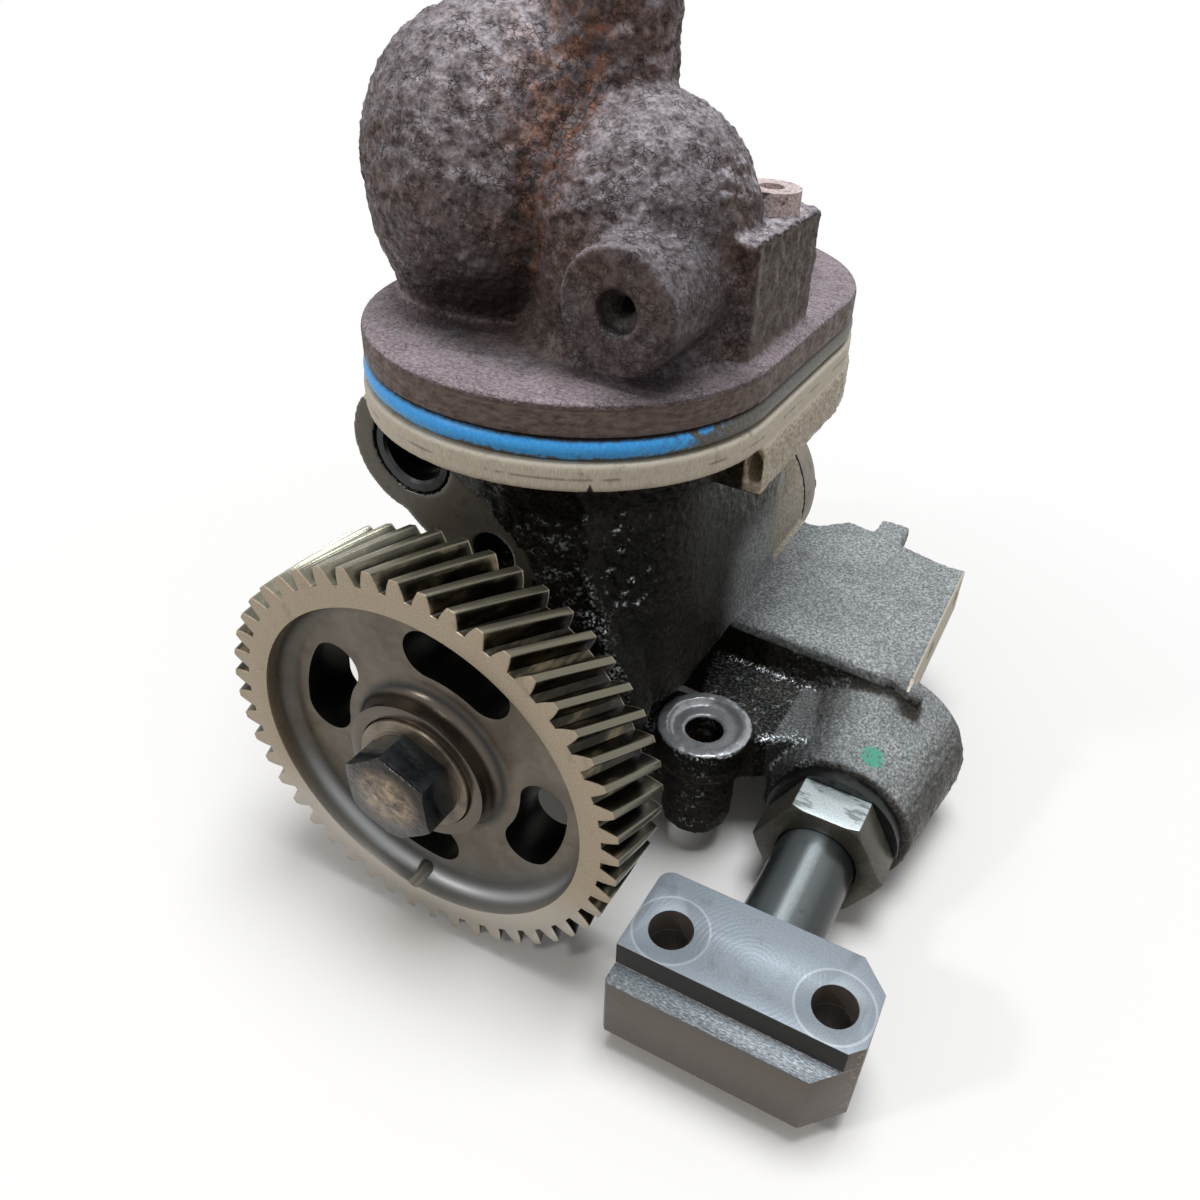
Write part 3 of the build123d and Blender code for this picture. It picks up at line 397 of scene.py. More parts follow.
def rubber_look():
    """Blue seal, scuffed grey low down and towards its right side, with a painted shadow along its top
    under the plate.
    """
    look = Look("blue_seal", rough=0.42, Specular_IOR_Level=0.4)
    wear = look.noise(4.5, 5, 0.75, 0.4)
    fine = look.noise(0.9, 4, 0.7)
    tone = look.ramp(fine, (0.3, (0.035, 0.30, 0.90)), (0.7, (0.075, 0.52, 1.0)))
    side = look.band(look.axis(X), 46, 64)
    low = look.band(look.axis(Z), 98.3, 95.6)
    share = look.math("ADD", look.math("MULTIPLY", side, 0.42), look.math("MULTIPLY", low, 0.24))
    worn = look.band(look.math("ADD", wear, share), 0.60, 0.76)
    # Painted shadow: dark along the seal's top, under the plate's edge.
    ragged = look.math("ADD", look.axis(Z), look.math("MULTIPLY", wear, 1.6))
    shadow_under_plate = look.band(ragged, PLATE_BOTTOM_Z - 0.5, PLATE_BOTTOM_Z + 0.3)
    grey = look.ramp(fine, (0.3, (0.035, 0.035, 0.030)), (0.7, (0.16, 0.15, 0.125)))
    look.set(Base_Color=look.mix(shadow_under_plate, look.mix(worn, tone, grey), (0.030, 0.022, 0.018)))
    look.set(Normal=look.bump(look.math("ADD", fine, worn), 0.10, 0.6))
    return look.mat


def gear_look():
    """Tan ground rims with lathe rings, olive oily flanks and a brown-grey web, with painted highlights and
    reflections on the teeth and low down, and painted shade in the recess and in the slots.
    """
    look = Look("gear_steel", rough=0.35, metal=0.8)
    radius = look.radius(DRIVE_AXIS, (X, Z))
    deep = look.math("MULTIPLY", look.band(look.axis(Y), 0.15, 0.5),
                     look.band(look.axis(Y), GEAR_FACE - 0.1, GEAR_FACE - 0.5))
    flank = look.math("MULTIPLY", look.band(radius, GEAR_ROOT_R - 1.75, GEAR_ROOT_R - 1.15), deep)
    web = look.band(radius, GEAR_RIM_INNER_R + 0.15, GEAR_RIM_INNER_R - 0.2)
    web = look.math("MULTIPLY", web, look.band(look.axis(Y), 0.1, 0.9))
    grain = look.noise(0.5, 4, 0.6)
    film = look.noise(9, 5, 0.65, 0.5)
    tan = look.ramp(grain, (0.3, (0.26, 0.21, 0.15)), (0.7, (0.42, 0.345, 0.25)))
    tan = look.mix(look.math("MULTIPLY", look.band(film, 0.56, 0.74), 0.45), tan, (0.14, 0.11, 0.075))
    oil = look.noise(5, 4, 0.6, place=look.stretch(1, 0.25, 1))
    steel = look.ramp(oil, (0.38, (0.009, 0.008, 0.005)), (0.52, (0.030, 0.025, 0.016)),
                      (0.66, (0.15, 0.122, 0.072)))
    tips = look.band(radius, GEAR_TIP_R - 0.7, GEAR_TIP_R - 0.35)
    steel = look.mix(tips, steel, (0.165, 0.152, 0.112))
    # Painted highlight: teeth high up towards -X are lighter.
    left = look.math("MULTIPLY", look.band(look.axis(X), 5, -35), look.band(look.axis(Z), 20, 45))
    steel = look.mix(look.math("MULTIPLY", left, 0.5), steel, (0.34, 0.33, 0.26))
    dark = look.ramp(film, (0.35, (0.115, 0.096, 0.073)), (0.65, (0.17, 0.145, 0.115)))
    # Painted shade: darker towards the rim's inner wall in the recess.
    wall = look.math("MULTIPLY", look.band(radius, GEAR_RIM_INNER_R - 6.3, GEAR_RIM_INNER_R - 2.3), web)
    dark = look.mix(look.math("MULTIPLY", wall, 0.6), dark, (0.06, 0.058, 0.052))
    hub = look.band(radius, GEAR_HUB_R + 5.5, GEAR_HUB_R + 1.5)
    dark = look.mix(hub, dark, (0.020, 0.021, 0.021))
    # Painted reflection and highlight: lighter low down on the web and along the rim's inner edge.
    low = look.band(look.axis(Z), -14, -44)
    lit = look.math("MULTIPLY", look.band(radius, 38, 52), low)
    dark = look.mix(look.math("MULTIPLY", lit, 0.75), dark, (0.105, 0.110, 0.113))
    edge = look.math("MULTIPLY", look.band(radius, GEAR_RIM_INNER_R - 3.3, GEAR_RIM_INNER_R - 0.6), low)
    dark = look.mix(look.math("MULTIPLY", edge, 0.8), dark, (0.36, 0.37, 0.37))
    # Painted shade: the walls of the slots are darkened.
    across = look.math("ABSOLUTE", look.facing(Y))
    inner, outer = GEAR_SLOT_R
    slot_wall_shade = look.math("MULTIPLY", look.band(across, 0.6, 0.3), look.band(radius, outer + 4.5, outer + 3.5))
    slot_wall_shade = look.math("MULTIPLY", slot_wall_shade, look.band(radius, inner - 1.5, inner - 0.5))
    dark = look.mix(slot_wall_shade, dark, (0.010, 0.009, 0.008))
    # Painted reflection: the rim is lighter low down.
    tan = look.mix(look.math("MULTIPLY", low, 0.6), tan, (0.50, 0.49, 0.455))
    colour = look.mix(flank, tan, steel)
    colour = look.mix(web, colour, dark)
    hub_face = look.mix(grain, (0.072, 0.059, 0.046), (0.145, 0.122, 0.097))
    colour = look.mix(look.band(radius, GEAR_HUB_R + 2.5, GEAR_HUB_R + 0.5), colour, hub_face)
    look.set(Base_Color=colour)
    look.set(Roughness=look.mix(look.math("ADD", flank, hub, True), (0.43,) * 3, (0.24,) * 3))
    on_rim = look.band(radius, GEAR_RIM_INNER_R + 0.1, GEAR_RIM_INNER_R + 0.3)
    marks = look.math("MULTIPLY", look.rings(radius, 0.55), on_rim)
    height = look.math("ADD", grain, look.math("MULTIPLY", marks, 0.16))
    look.set(Normal=look.bump(height, 0.06, 0.7))
    return look.mat


def oily_steel_look(name, colour, rough=0.25, metal=0.9):
    """Plain steel or bronze under a thin film of dark oil."""
    look = Look(name, rough=rough, metal=metal)
    grime = look.noise(6, 5, 0.65, 0.4)
    grain = look.noise(0.6, 3, 0.6)
    tone = look.ramp(grain, (0.3, tuple(0.8 * c for c in colour)), (0.7, colour))
    look.set(Base_Color=look.mix(look.band(grime, 0.5, 0.75), tone, (0.02, 0.016, 0.012)))
    look.set(Normal=look.bump(grain, 0.04, 0.5))
    look.set(Roughness=look.ramp(grime, (0.3, rough), (0.8, min(1.0, rough + 0.25))))
    return look.mat


def tube_look():
    """Steel tube with a painted highlight along its top and painted shade down its sides, and patches of
    oily grime.
    """
    look = Look("tube_steel", rough=0.24, metal=0.85)
    grain = look.noise(0.7, 3, 0.6, place=look.stretch(1, 0.35, 1))
    # Painted highlight along the top and painted shade down the sides, set by which way the surface faces.
    facing = look.math("ADD", look.facing(Z), look.math("MULTIPLY", look.facing(X), -0.28))
    facing = look.math("ADD", facing, look.math("MULTIPLY", look.math("SUBTRACT", grain, 0.5), 0.06))
    tone = look.ramp(facing, (0.0, (0.026, 0.028, 0.027)), (0.62, (0.062, 0.070, 0.071)),
                     (0.90, (0.15, 0.168, 0.172)), (1.0, (0.42, 0.475, 0.495)))
    grime = look.band(look.noise(5, 4, 0.7), 0.60, 0.74)
    look.set(Base_Color=look.mix(look.math("MULTIPLY", grime, 0.5), tone, (0.03, 0.03, 0.028)))
    look.set(Normal=look.bump(grain, 0.05, 0.6))
    return look.mat


def nut_look():
    """Gland nut: painted light on its top faces, with a dark smear; olive-grey round its sides."""
    look = Look("nut_steel", rough=0.36, metal=0.45, Specular_IOR_Level=0.35)
    grain = look.noise(0.7, 3, 0.6)
    # Painted light: faces that look up get the light steel colour.
    up = look.band(look.facing(Z), 0.72, 0.94)
    smear = look.band(look.noise(5, 4, 0.6, place=look.stretch(0.5, 1.8, 1)), 0.52, 0.62)
    lit_top = look.ramp(grain, (0.3, (0.42, 0.48, 0.49)), (0.7, (0.62, 0.69, 0.70)))
    lit_top = look.mix(look.math("MULTIPLY", smear, 0.65), lit_top, (0.08, 0.088, 0.083))
    side = look.ramp(grain, (0.3, (0.055, 0.052, 0.041)), (0.7, (0.110, 0.105, 0.083)))
    oiled = look.math("MULTIPLY", look.band(look.noise(7, 4), 0.5, 0.7), 0.6)
    side = look.mix(oiled, side, (0.045, 0.042, 0.034))
    look.set(Base_Color=look.mix(up, side, lit_top))
    look.set(Normal=look.bump(grain, 0.05, 0.5))
    return look.mat


def block_look():
    """Milled block: turned rings on its top, spot-faced holes, a hatched ledge and brown-grey sides."""
    look = Look("block_steel", rough=0.42, metal=0.25, Specular_IOR_Level=0.4)
    grain = look.noise(0.5, 3, 0.6)
    dirt = look.noise(10, 5, 0.65)
    top = look.band(look.axis(Z), BLOCK_TOP_Z - 0.35, BLOCK_TOP_Z - 0.1)
    from_rings = look.radius(BLOCK_RINGS, (X, Y))
    face = look.ramp(grain, (0.3, (0.22, 0.26, 0.295)), (0.7, (0.33, 0.375, 0.42)))
    face = look.mix(look.math("MULTIPLY", look.band(dirt, 0.52, 0.75), 0.5), face, (0.13, 0.135, 0.14))
    spots = 0.0
    rims = 0.0
    for hole in BLOCK_HOLES:
        away = look.radius(hole, (X, Y))
        spots = look.math("MAXIMUM", look.band(away, BLOCK_SPOT_R + 0.4, BLOCK_SPOT_R), spots)
        rim = look.math("MULTIPLY", look.band(away, BLOCK_SPOT_R + 0.7, BLOCK_SPOT_R + 0.3),
                        look.band(away, BLOCK_SPOT_R - 0.4, BLOCK_SPOT_R))
        rims = look.math("MAXIMUM", rim, rims)
    face = look.mix(look.math("MULTIPLY", spots, 0.35), face, (0.17, 0.19, 0.205))
    face = look.mix(look.math("MULTIPLY", rims, 0.6), face, (0.50, 0.53, 0.56))
    side = look.ramp(grain, (0.3, (0.082, 0.067, 0.056)), (0.7, (0.15, 0.122, 0.103)))
    side = look.mix(look.math("MULTIPLY", look.band(dirt, 0.55, 0.75), 0.6), side, (0.06, 0.050, 0.042))
    wall = look.math("MULTIPLY", look.band(look.axis(Y), BLOCK_FRONT_Y + 0.3, BLOCK_FRONT_Y + 0.1),
                     look.band(look.axis(Y), BLOCK_FRONT_Y - 0.4, BLOCK_FRONT_Y - 0.2))
    wall = look.math("MULTIPLY", wall, look.band(look.axis(Z), BLOCK_LEDGE_Z + 0.1, BLOCK_LEDGE_Z + 0.7))
    side = look.mix(wall, side, (0.012, 0.011, 0.010))
    ledge = look.math("MULTIPLY", look.band(look.axis(Z), BLOCK_LEDGE_Z - 0.3, BLOCK_LEDGE_Z - 0.1),
                      look.band(look.axis(Z), BLOCK_LEDGE_Z + 0.5, BLOCK_LEDGE_Z + 0.2))
    hatch = look.noise(0.7, 3, 0.7, place=look.stretch(0.5, 2.2, 1))
    shelf = look.ramp(hatch, (0.35, (0.055, 0.062, 0.068)), (0.52, (0.165, 0.188, 0.203)),
                      (0.68, (0.38, 0.42, 0.45)))
    side = look.mix(ledge, side, shelf)
    rough_end = look.math("MULTIPLY", look.band(look.axis(X), BLOCK_END_X - 4, BLOCK_END_X - 1.5),
                          look.band(look.axis(Z), BLOCK_TOP_Z - 0.5, BLOCK_TOP_Z - 1.5))
    side = look.mix(look.math("MULTIPLY", rough_end, look.band(look.noise(1.3, 4), 0.50, 0.66)), side,
                    (0.24, 0.20, 0.155))
    look.set(Base_Color=look.mix(top, side, face))
    turned = look.math("MULTIPLY", look.rings(from_rings, 1.5), look.band(look.noise(14, 3), 0.36, 0.6))
    height = look.math("ADD", grain, look.math("MULTIPLY", turned, look.math("MULTIPLY", top, 0.16)))
    look.set(Normal=look.bump(height, 0.09, 0.8))
    return look.mat


def bolt_look():
    """Black oily bolt; its front face is mottled with brown oil."""
    look = Look("black_bolt", rough=0.16, metal=0.55)
    front = look.band(look.axis(Y), BOLT_FACE_Y + 0.9, BOLT_FACE_Y + 0.5)
    mottle = look.noise(4.2, 5, 0.7, 0.5)
    amber = look.ramp(mottle, (0.36, (0.045, 0.032, 0.022)), (0.5, (0.17, 0.13, 0.095)),
                      (0.62, (0.36, 0.26, 0.15)), (0.72, (0.52, 0.45, 0.37)))
    black = look.ramp(look.noise(7, 4), (0.35, (0.012, 0.014, 0.016)), (0.7, (0.055, 0.064, 0.070)))
    middle = look.math("ADD", look.radius(DRIVE_AXIS, (X, Z)), look.math("MULTIPLY", mottle, 8.0))
    amber = look.mix(look.band(middle, 11.5, 16.5), amber, (0.030, 0.026, 0.022))
    look.set(Base_Color=look.mix(front, black, amber))
    dents = look.math("MULTIPLY", look.noise(2.4, 2, 0.5), 0.12)
    dents = look.math("ADD", dents, look.math("MULTIPLY", mottle, front))
    look.set(Normal=look.bump(dents, 0.7, 0.8))
    return look.mat


def washer_look():
    """Brown oily washer with turned rings."""
    look = Look("washer_steel", rough=0.32, metal=0.7)
    radius = look.radius(DRIVE_AXIS, (X, Z))
    grain = look.noise(0.6, 3)
    tone = look.ramp(look.noise(9, 4), (0.35, (0.085, 0.068, 0.052)), (0.65, (0.24, 0.195, 0.145)))
    look.set(Base_Color=tone)
    height = look.math("ADD", grain, look.math("MULTIPLY", look.rings(radius, 1.1), 0.25))
    look.set(Normal=look.bump(height, 0.06, 0.8))
    return look.mat


def seen_directly(tree):
    """1 for rays from the camera, off a gloss or through glass; 0 for light that falls on things."""
    rays = tree.nodes.new("ShaderNodeLightPath")
    seen = rays.outputs["Is Camera Ray"]
    for other in ("Is Glossy Ray", "Is Transmission Ray"):
        either = tree.nodes.new("ShaderNodeMath")
        either.operation = "MAXIMUM"
        tree.links.new(seen, either.inputs[0])
        tree.links.new(rays.outputs[other], either.inputs[1])
        seen = either.outputs[0]
    return seen


def floor_look():
    """Pale floor that fades to the white background, and gives off the light of dull brown ground."""
    mat = bpy.data.materials.new("floor")
    mat.use_nodes = True
    tree = mat.node_tree
    tree.nodes.clear()
    add = tree.nodes.new
    link = tree.links.new
    out = add("ShaderNodeOutputMaterial")
    pale = add("ShaderNodeBsdfDiffuse")
    pale.inputs["Color"].default_value = (0.93, 0.91, 0.88, 1)
    ground = add("ShaderNodeBsdfDiffuse")
    ground.inputs["Color"].default_value = (0.40, 0.34, 0.28, 1)
    white = add("ShaderNodeEmission")
    white.inputs["Color"].default_value = (1, 1, 1, 1)
    white.inputs["Strength"].default_value = 1.0
    place = add("ShaderNodeTexCoord")
    apart = add("ShaderNodeVectorMath")
    apart.operation = "DISTANCE"
    apart.inputs[1].default_value = (0.03, 0.08, FLOOR_Z_MM * MM)
    link(place.outputs["Object"], apart.inputs[0])
    fade = add("ShaderNodeMapRange")
    fade.interpolation_type = "SMOOTHSTEP"
    fade.inputs["From Min"].default_value = 0.12
    fade.inputs["From Max"].default_value = 0.42
    link(apart.outputs["Value"], fade.inputs["Value"])
    near = add("ShaderNodeMixShader")
    link(fade.outputs["Result"], near.inputs["Fac"])
    link(pale.outputs[0], near.inputs[1])
    link(white.outputs[0], near.inputs[2])
    final = add("ShaderNodeMixShader")
    link(seen_directly(tree), final.inputs["Fac"])
    link(ground.outputs[0], final.inputs[1])
    link(near.outputs[0], final.inputs[2])
    link(final.outputs[0], out.inputs["Surface"])
    return mat


# ======== meshes ========

def add_object(name, mesh):
    piece = bpy.data.objects.new(name, mesh)
    bpy.context.scene.collection.objects.link(piece)
    return piece


def body_of_node(node):
    return next(body for body, members in BODIES.items() if node in members)


def apply_modifiers(piece):
    """Keep the shape that the modifiers give, and drop the modifiers."""
    shaped = piece.evaluated_get(bpy.context.evaluated_depsgraph_get())
    mesh = bpy.data.meshes.new_from_object(shaped)
    piece.modifiers.clear()
    old = piece.data
    piece.data = mesh
    bpy.data.meshes.remove(old)


def clean_copy(node, name):
    """Copy of a CAD node's surface with its split corners joined."""
    mesh = bpy.data.meshes.new(name)
    work = bmesh.new()
    work.from_mesh(NODES[node].data)
    bmesh.ops.remove_doubles(work, verts=work.verts, dist=1e-6)
    work.to_mesh(mesh)
    work.free()
    mesh.materials.clear()
    return add_object(name, mesh)


def finish_piece(piece, node, materials, smooth_deg=35):
    """Give the piece its materials and its body, and hide the CAD node that it stands for."""
    piece.data.materials.clear()
    for mat in materials:
        piece.data.materials.append(mat)
    piece.data.shade_smooth()
    if smooth_deg:
        piece.data.set_sharp_from_angle(angle=math.radians(smooth_deg))
    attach(piece, body_of_node(node))
    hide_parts(node)


def bevelled(node, width_mm, main, edge, segments=2):
    """CAD node with its edges broken; the broken edges get a material of their own."""
    piece = clean_copy(node, node + "_finished")
    bevel = piece.modifiers.new("bevel", "BEVEL")
    bevel.width = width_mm * MM
    bevel.segments = segments
    bevel.limit_method = "ANGLE"
    bevel.angle_limit = math.radians(32)
    bevel.use_clamp_overlap = True
    bevel.material = 1
    piece.data.materials.append(main)
    piece.data.materials.append(edge)
    apply_modifiers(piece)
    finish_piece(piece, node, [main, edge])


def coordinates(mesh):
    flat = np.empty(len(mesh.vertices) * 3, np.float32)
    mesh.vertices.foreach_get("co", flat)
    return flat.reshape(-1, 3) / MM


def vertex_normals(mesh):
    flat = np.empty(len(mesh.vertices) * 3, np.float32)
    mesh.vertices.foreach_get("normal", flat)
    return flat.reshape(-1, 3)


def move_vertices(mesh, co):
    mesh.vertices.foreach_set("co", (co * MM).ravel())


def store(mesh, name, values):
    """Per-vertex value that a material reads."""
    layer = mesh.attributes.new(name, "FLOAT", "POINT")
    layer.data.foreach_set("value", np.ascontiguousarray(values, np.float32))


def ease(value, start, end):
    """0 at start and 1 at end, smooth between them, for arrays."""
    t = np.clip((value - start) / (end - start), 0, 1)
    return t * t * (3 - 2 * t)


def group(piece, name, weights):
    """Vertex group from an array of weights, rounded to WEIGHT_LEVELS levels."""
    made = piece.vertex_groups.new(name=name)
    steps = np.rint(np.clip(weights, 0, 1) * WEIGHT_LEVELS).astype(int)
    for level in range(1, WEIGHT_LEVELS + 1):
        members = np.nonzero(steps == level)[0]
        if len(members):
            made.add(members.tolist(), level / WEIGHT_LEVELS, "REPLACE")
    return made.name


def remesh(piece, voxel_mm):
    """Even the mesh out, so that it can be shaped as a skin."""
    change = piece.modifiers.new("remesh", "REMESH")
    change.mode = "VOXEL"
    change.voxel_size = voxel_mm * MM
    apply_modifiers(piece)


def soften(piece, weights, rounds):
    """Round the edges off, as far as the weights allow."""
    change = piece.modifiers.new("soften", "SMOOTH")
    change.factor = 0.5
    change.iterations = rounds
    change.vertex_group = group(piece, "soften", weights)
    apply_modifiers(piece)
    piece.vertex_groups.clear()


def roughen(piece, size_mm, height_mm, weights, depth):
    """Push the surface in and out by a cloud texture."""
    texture = bpy.data.textures.new("clouds", "CLOUDS")
    texture.noise_scale = size_mm * MM
    texture.noise_depth = depth
    change = piece.modifiers.new("roughen", "DISPLACE")
    change.texture = texture
    change.texture_coords = "LOCAL"
    change.strength = height_mm * MM
    change.mid_level = 0.5
    change.vertex_group = group(piece, "roughen", weights)
    apply_modifiers(piece)
    piece.vertex_groups.clear()


def slot_distance(co):
    """Distance from the flange's slot-shaped centre line, in plan."""
    y = np.clip(co[:, 1], FLANGE_FRONT_Y, FLANGE_BACK_Y)
    return np.hypot(co[:, 0], co[:, 1] - y)


def shape_manifold(piece):
    """Round the casting but for its boss and pillar, and give it lumps; returns where it is cast."""
    remesh(piece, 0.8)
    co = coordinates(piece.data)
    x, y, z = co.T
    above = ease(z, PLATE_TOP_Z - 0.5, PLATE_TOP_Z + 2)
    boss = np.hypot(x - FRONT_BOSS[0], z - FRONT_BOSS[1])
    near_boss = (boss < FRONT_BOSS_R + 1.5) & (y < FRONT_BOSS_Y + 4)
    pillar = ((x > PILLAR_RIGHT_X - 3.5) | (z > PILLAR_TOP_Z - 3)) & (x > 45)
    pillar &= (z > PLATE_TOP_Z + 3) & (y > PILLAR_FRONT_Y - 1)
    rim = 0.30 * ease(z, PLATE_TOP_Z - 2.4, PLATE_TOP_Z - 1.0) * (slot_distance(co) > PLATE_R - 3.1)
    soften(piece, np.maximum(above * np.where(near_boss, 0.04, np.where(pillar, 0.10, 1.0)), rim), 70)
    co = coordinates(piece.data)
    z = co[:, 2]
    cast = ease(z, PLATE_TOP_Z + 1, PLATE_TOP_Z + 5)
    lumpy = cast * np.where(near_boss, 0.15, 1.0)
    crusty = ease(slot_distance(co), 58, 46) * ease(z, PLATE_TOP_Z - 3, PLATE_TOP_Z - 1)
    high = 0.55 + 0.45 * ease(z, 128, 150)
    roughen(piece, 7.0, 2.6, lumpy * high, 4)
    roughen(piece, 2.4, 1.2, np.clip(lumpy * high + 0.5 * crusty, 0, 1), 3)
    roughen(piece, 1.4, 0.6, np.clip(lumpy + 0.7 * crusty + 0.06, 0, 1), 1)
    return cast


def store_rust(mesh, cast):
    """Values that tell the rust's look where it is orange or dusty, where to paint light (lilac from above
    and pale highlights) and where to paint shade.
    """
    co = coordinates(mesh)
    x, y, z = co.T
    normals = vertex_normals(mesh)
    from_slot = slot_distance(co)
    boss = np.hypot(x - FRONT_BOSS[0], z - FRONT_BOSS[1])

    valley = np.exp(-((x - 1 - 0.16 * (z - 140)) / 4.5) ** 2) * ease(z, 118, 132)
    crown = ease(z, 150, 172) * np.exp(-((x + 2) / 20) ** 2)
    streak = 0.7 * ease(z, 140, 160) * np.exp(-((x - 4) / 7) ** 2)
    store(mesh, "orange", np.clip(valley * ease(y, 96, 84) + 0.45 * crown + streak, 0, 1))
    # Painted light from above: how far each face looks up, stronger high on the casting.
    store(mesh, "lit_from_above", np.clip(normals[:, 2], 0, 1) * (0.1 + 0.9 * ease(z, 113, 126)))
    flat = (np.abs(z - PLATE_TOP_Z) < 1.6) & (normals[:, 2] > 0.3)
    store(mesh, "dusty", np.where(flat, ease(from_slot, 38, 54), 0.0))
    store(mesh, "cast", cast)

    above_plate = ease(z, PLATE_TOP_Z + 1, PLATE_TOP_Z + 3) * (normals[:, 2] < 0.5)
    pillar_side = ((x > PILLAR_RIGHT_X - 1.5) & (y > PILLAR_FRONT_Y - 2)) * ease(normals[:, 0], 0.5, 0.85)
    rim_side = ease(z, PLATE_TOP_Z - 0.7, PLATE_TOP_Z - 2.0)
    store(mesh, "side", np.maximum(above_plate * pillar_side, rim_side))

    # Painted highlights ('pale'): faces that look up on the pillar top, round the boss, on the dome and on
    # the crown.
    top = (z > PILLAR_TOP_Z - 1.5) & (x > 44) & (y > PILLAR_FRONT_Y - 1) & (normals[:, 2] > 0.5)
    flare = ease(boss, FRONT_BOSS_R + 12, FRONT_BOSS_R + 3) * ease(boss, FRONT_BOSS_R - 3, FRONT_BOSS_R - 1)
    flare *= ease(y, 82, 62) * ease(normals[:, 2], 0.15, 0.7) * (z > PLATE_TOP_Z + 6)
    dome = 0.34 * ease(normals[:, 2], 0.1, 0.5) * ease(x, 8, 18) * ease(z, 128, 142) * ease(x, 48, 34)
    dome *= ease(boss, FRONT_BOSS_R + 5, FRONT_BOSS_R + 16)
    light_crown = 0.5 * ease(z, 142, 160) * np.exp(-((x + 14) / 17) ** 2) * ease(y, 120, 100)
    store(mesh, "pale", np.maximum.reduce([0.9 * top, 0.12 * flare, dome, light_crown]))

    under = ease(z, 140, 118) * ease(from_slot, 50, 38) * (y < 92) * (x < 24)
    low = np.clip(0.15 - normals[:, 2] * 1.2, 0, 1) * cast
    lee = 0.42 * ease(normals[:, 0], 0.15, 0.7) * cast * ease(x, 22, 32) * ease(z, 165, 145)
    corner = 0.55 * ease(x, 28, 44) * ease(y, 88, 76) * ease(z, 116, 112.5)
    corner *= z > PLATE_TOP_Z - 1
    face = (boss < FRONT_BOSS_R - 0.8) & (y < FRONT_BOSS_Y + 14)
    bore = face & (y > FRONT_BOSS_Y + 2.5)
    shade = 0.55 * under + corner + 0.42 * valley + 0.5 * low + lee + 0.35 * face + 0.4 * bore
    store(mesh, "shade", np.clip(shade, 0, 0.85))


def make_manifold(material):
    """The manifold as a rough, rusted casting."""
    piece = clean_copy("top_manifold", "manifold_casting")
    cast = shape_manifold(piece)
    store_rust(piece.data, cast)
    finish_piece(piece, "top_manifold", [material], None)


def neck_ridge(co):
    """Cast-in ridge that runs down the neck and turns outward below RIDGE_BEND_Z."""
    x, y, z = co.T
    across = x - RIDGE_X - RIDGE_SLOPE * np.clip(RIDGE_BEND_Z - z, 0, None)
    return np.exp(-(across / 1.1) ** 2) * (y < 74) * ease(z, 4, 14) * (z < PILOT_BOTTOM_Z - 2)


def neck_beads(co):
    """The neck's right front, where the casting is beaded with oil."""
    x, y, z = co.T
    return ease(x, 29, 33) * ease(z, 28, 40) * ease(y, 84, 76)


def step_nub(co):
    """Take the nub's front back to the arm's corner, but not at the nub's outer end."""
    x, y, z = co.T
    nub = (x > NUB_END_X - 18.5) & (y < ARM_FRONT_Y) & (y > ARM_FRONT_Y - 4.8)
    nub &= z > NUB_BOTTOM_Z + 3.4
    proud = 3.4 * ease(x, 112.5, 117.5)
    co[:, 1] = np.where(nub, np.maximum(y, ARM_FRONT_Y - proud), y)


def shape_housing(piece):
    """Round the skin but for its machined faces, and roughen it; returns distances from the lug's axis."""
    remesh(piece, 0.95)
    co = coordinates(piece.data)
    step_nub(co)
    move_vertices(piece.data, co)
    x, y, z = co.T
    crisp = (np.hypot(x, z) < BORE_R + 1.5) | (np.hypot(x + PUMP_CENTRES, z) < BORE_R + 1)
    crisp |= z > PILOT_BOTTOM_Z - 1.2
    crisp |= (x > PAD_X - 1.5) & (y > ARM_FRONT_Y - 2) & (z > PAD_BOTTOM_Z - 2)
    crisp &= ~((x > NUB_END_X - 18.5) & (y < NUB_BACK_Y + 2) & (z > NUB_BOTTOM_Z - 2))
    crisp |= (np.abs(y - MOUNT_FACE_Y) < 1.2) & (x < 14)
    lug_away = np.hypot(x - LUG[0], y - LUG[1])
    crisp |= (lug_away < 13.5) & (z > LUG[2] - 3)
    free = np.where(crisp, 0.0, 1.0)
    soften(piece, free, 16)
    co = coordinates(piece.data)
    front = ease(co[:, 1], 75, 60) * ease(np.abs(co[:, 0] - 18), 30, 14)
    co += (1.5 * neck_ridge(co))[:, None] * vertex_normals(piece.data)
    move_vertices(piece.data, co)
    roughen(piece, 4.5, 1.5, free * (0.35 + 0.65 * front), 1)
    roughen(piece, 2.3, 1.5, free * neck_beads(co), 1)
    roughen(piece, 1.7, 0.65, free, 1)
    return lug_away


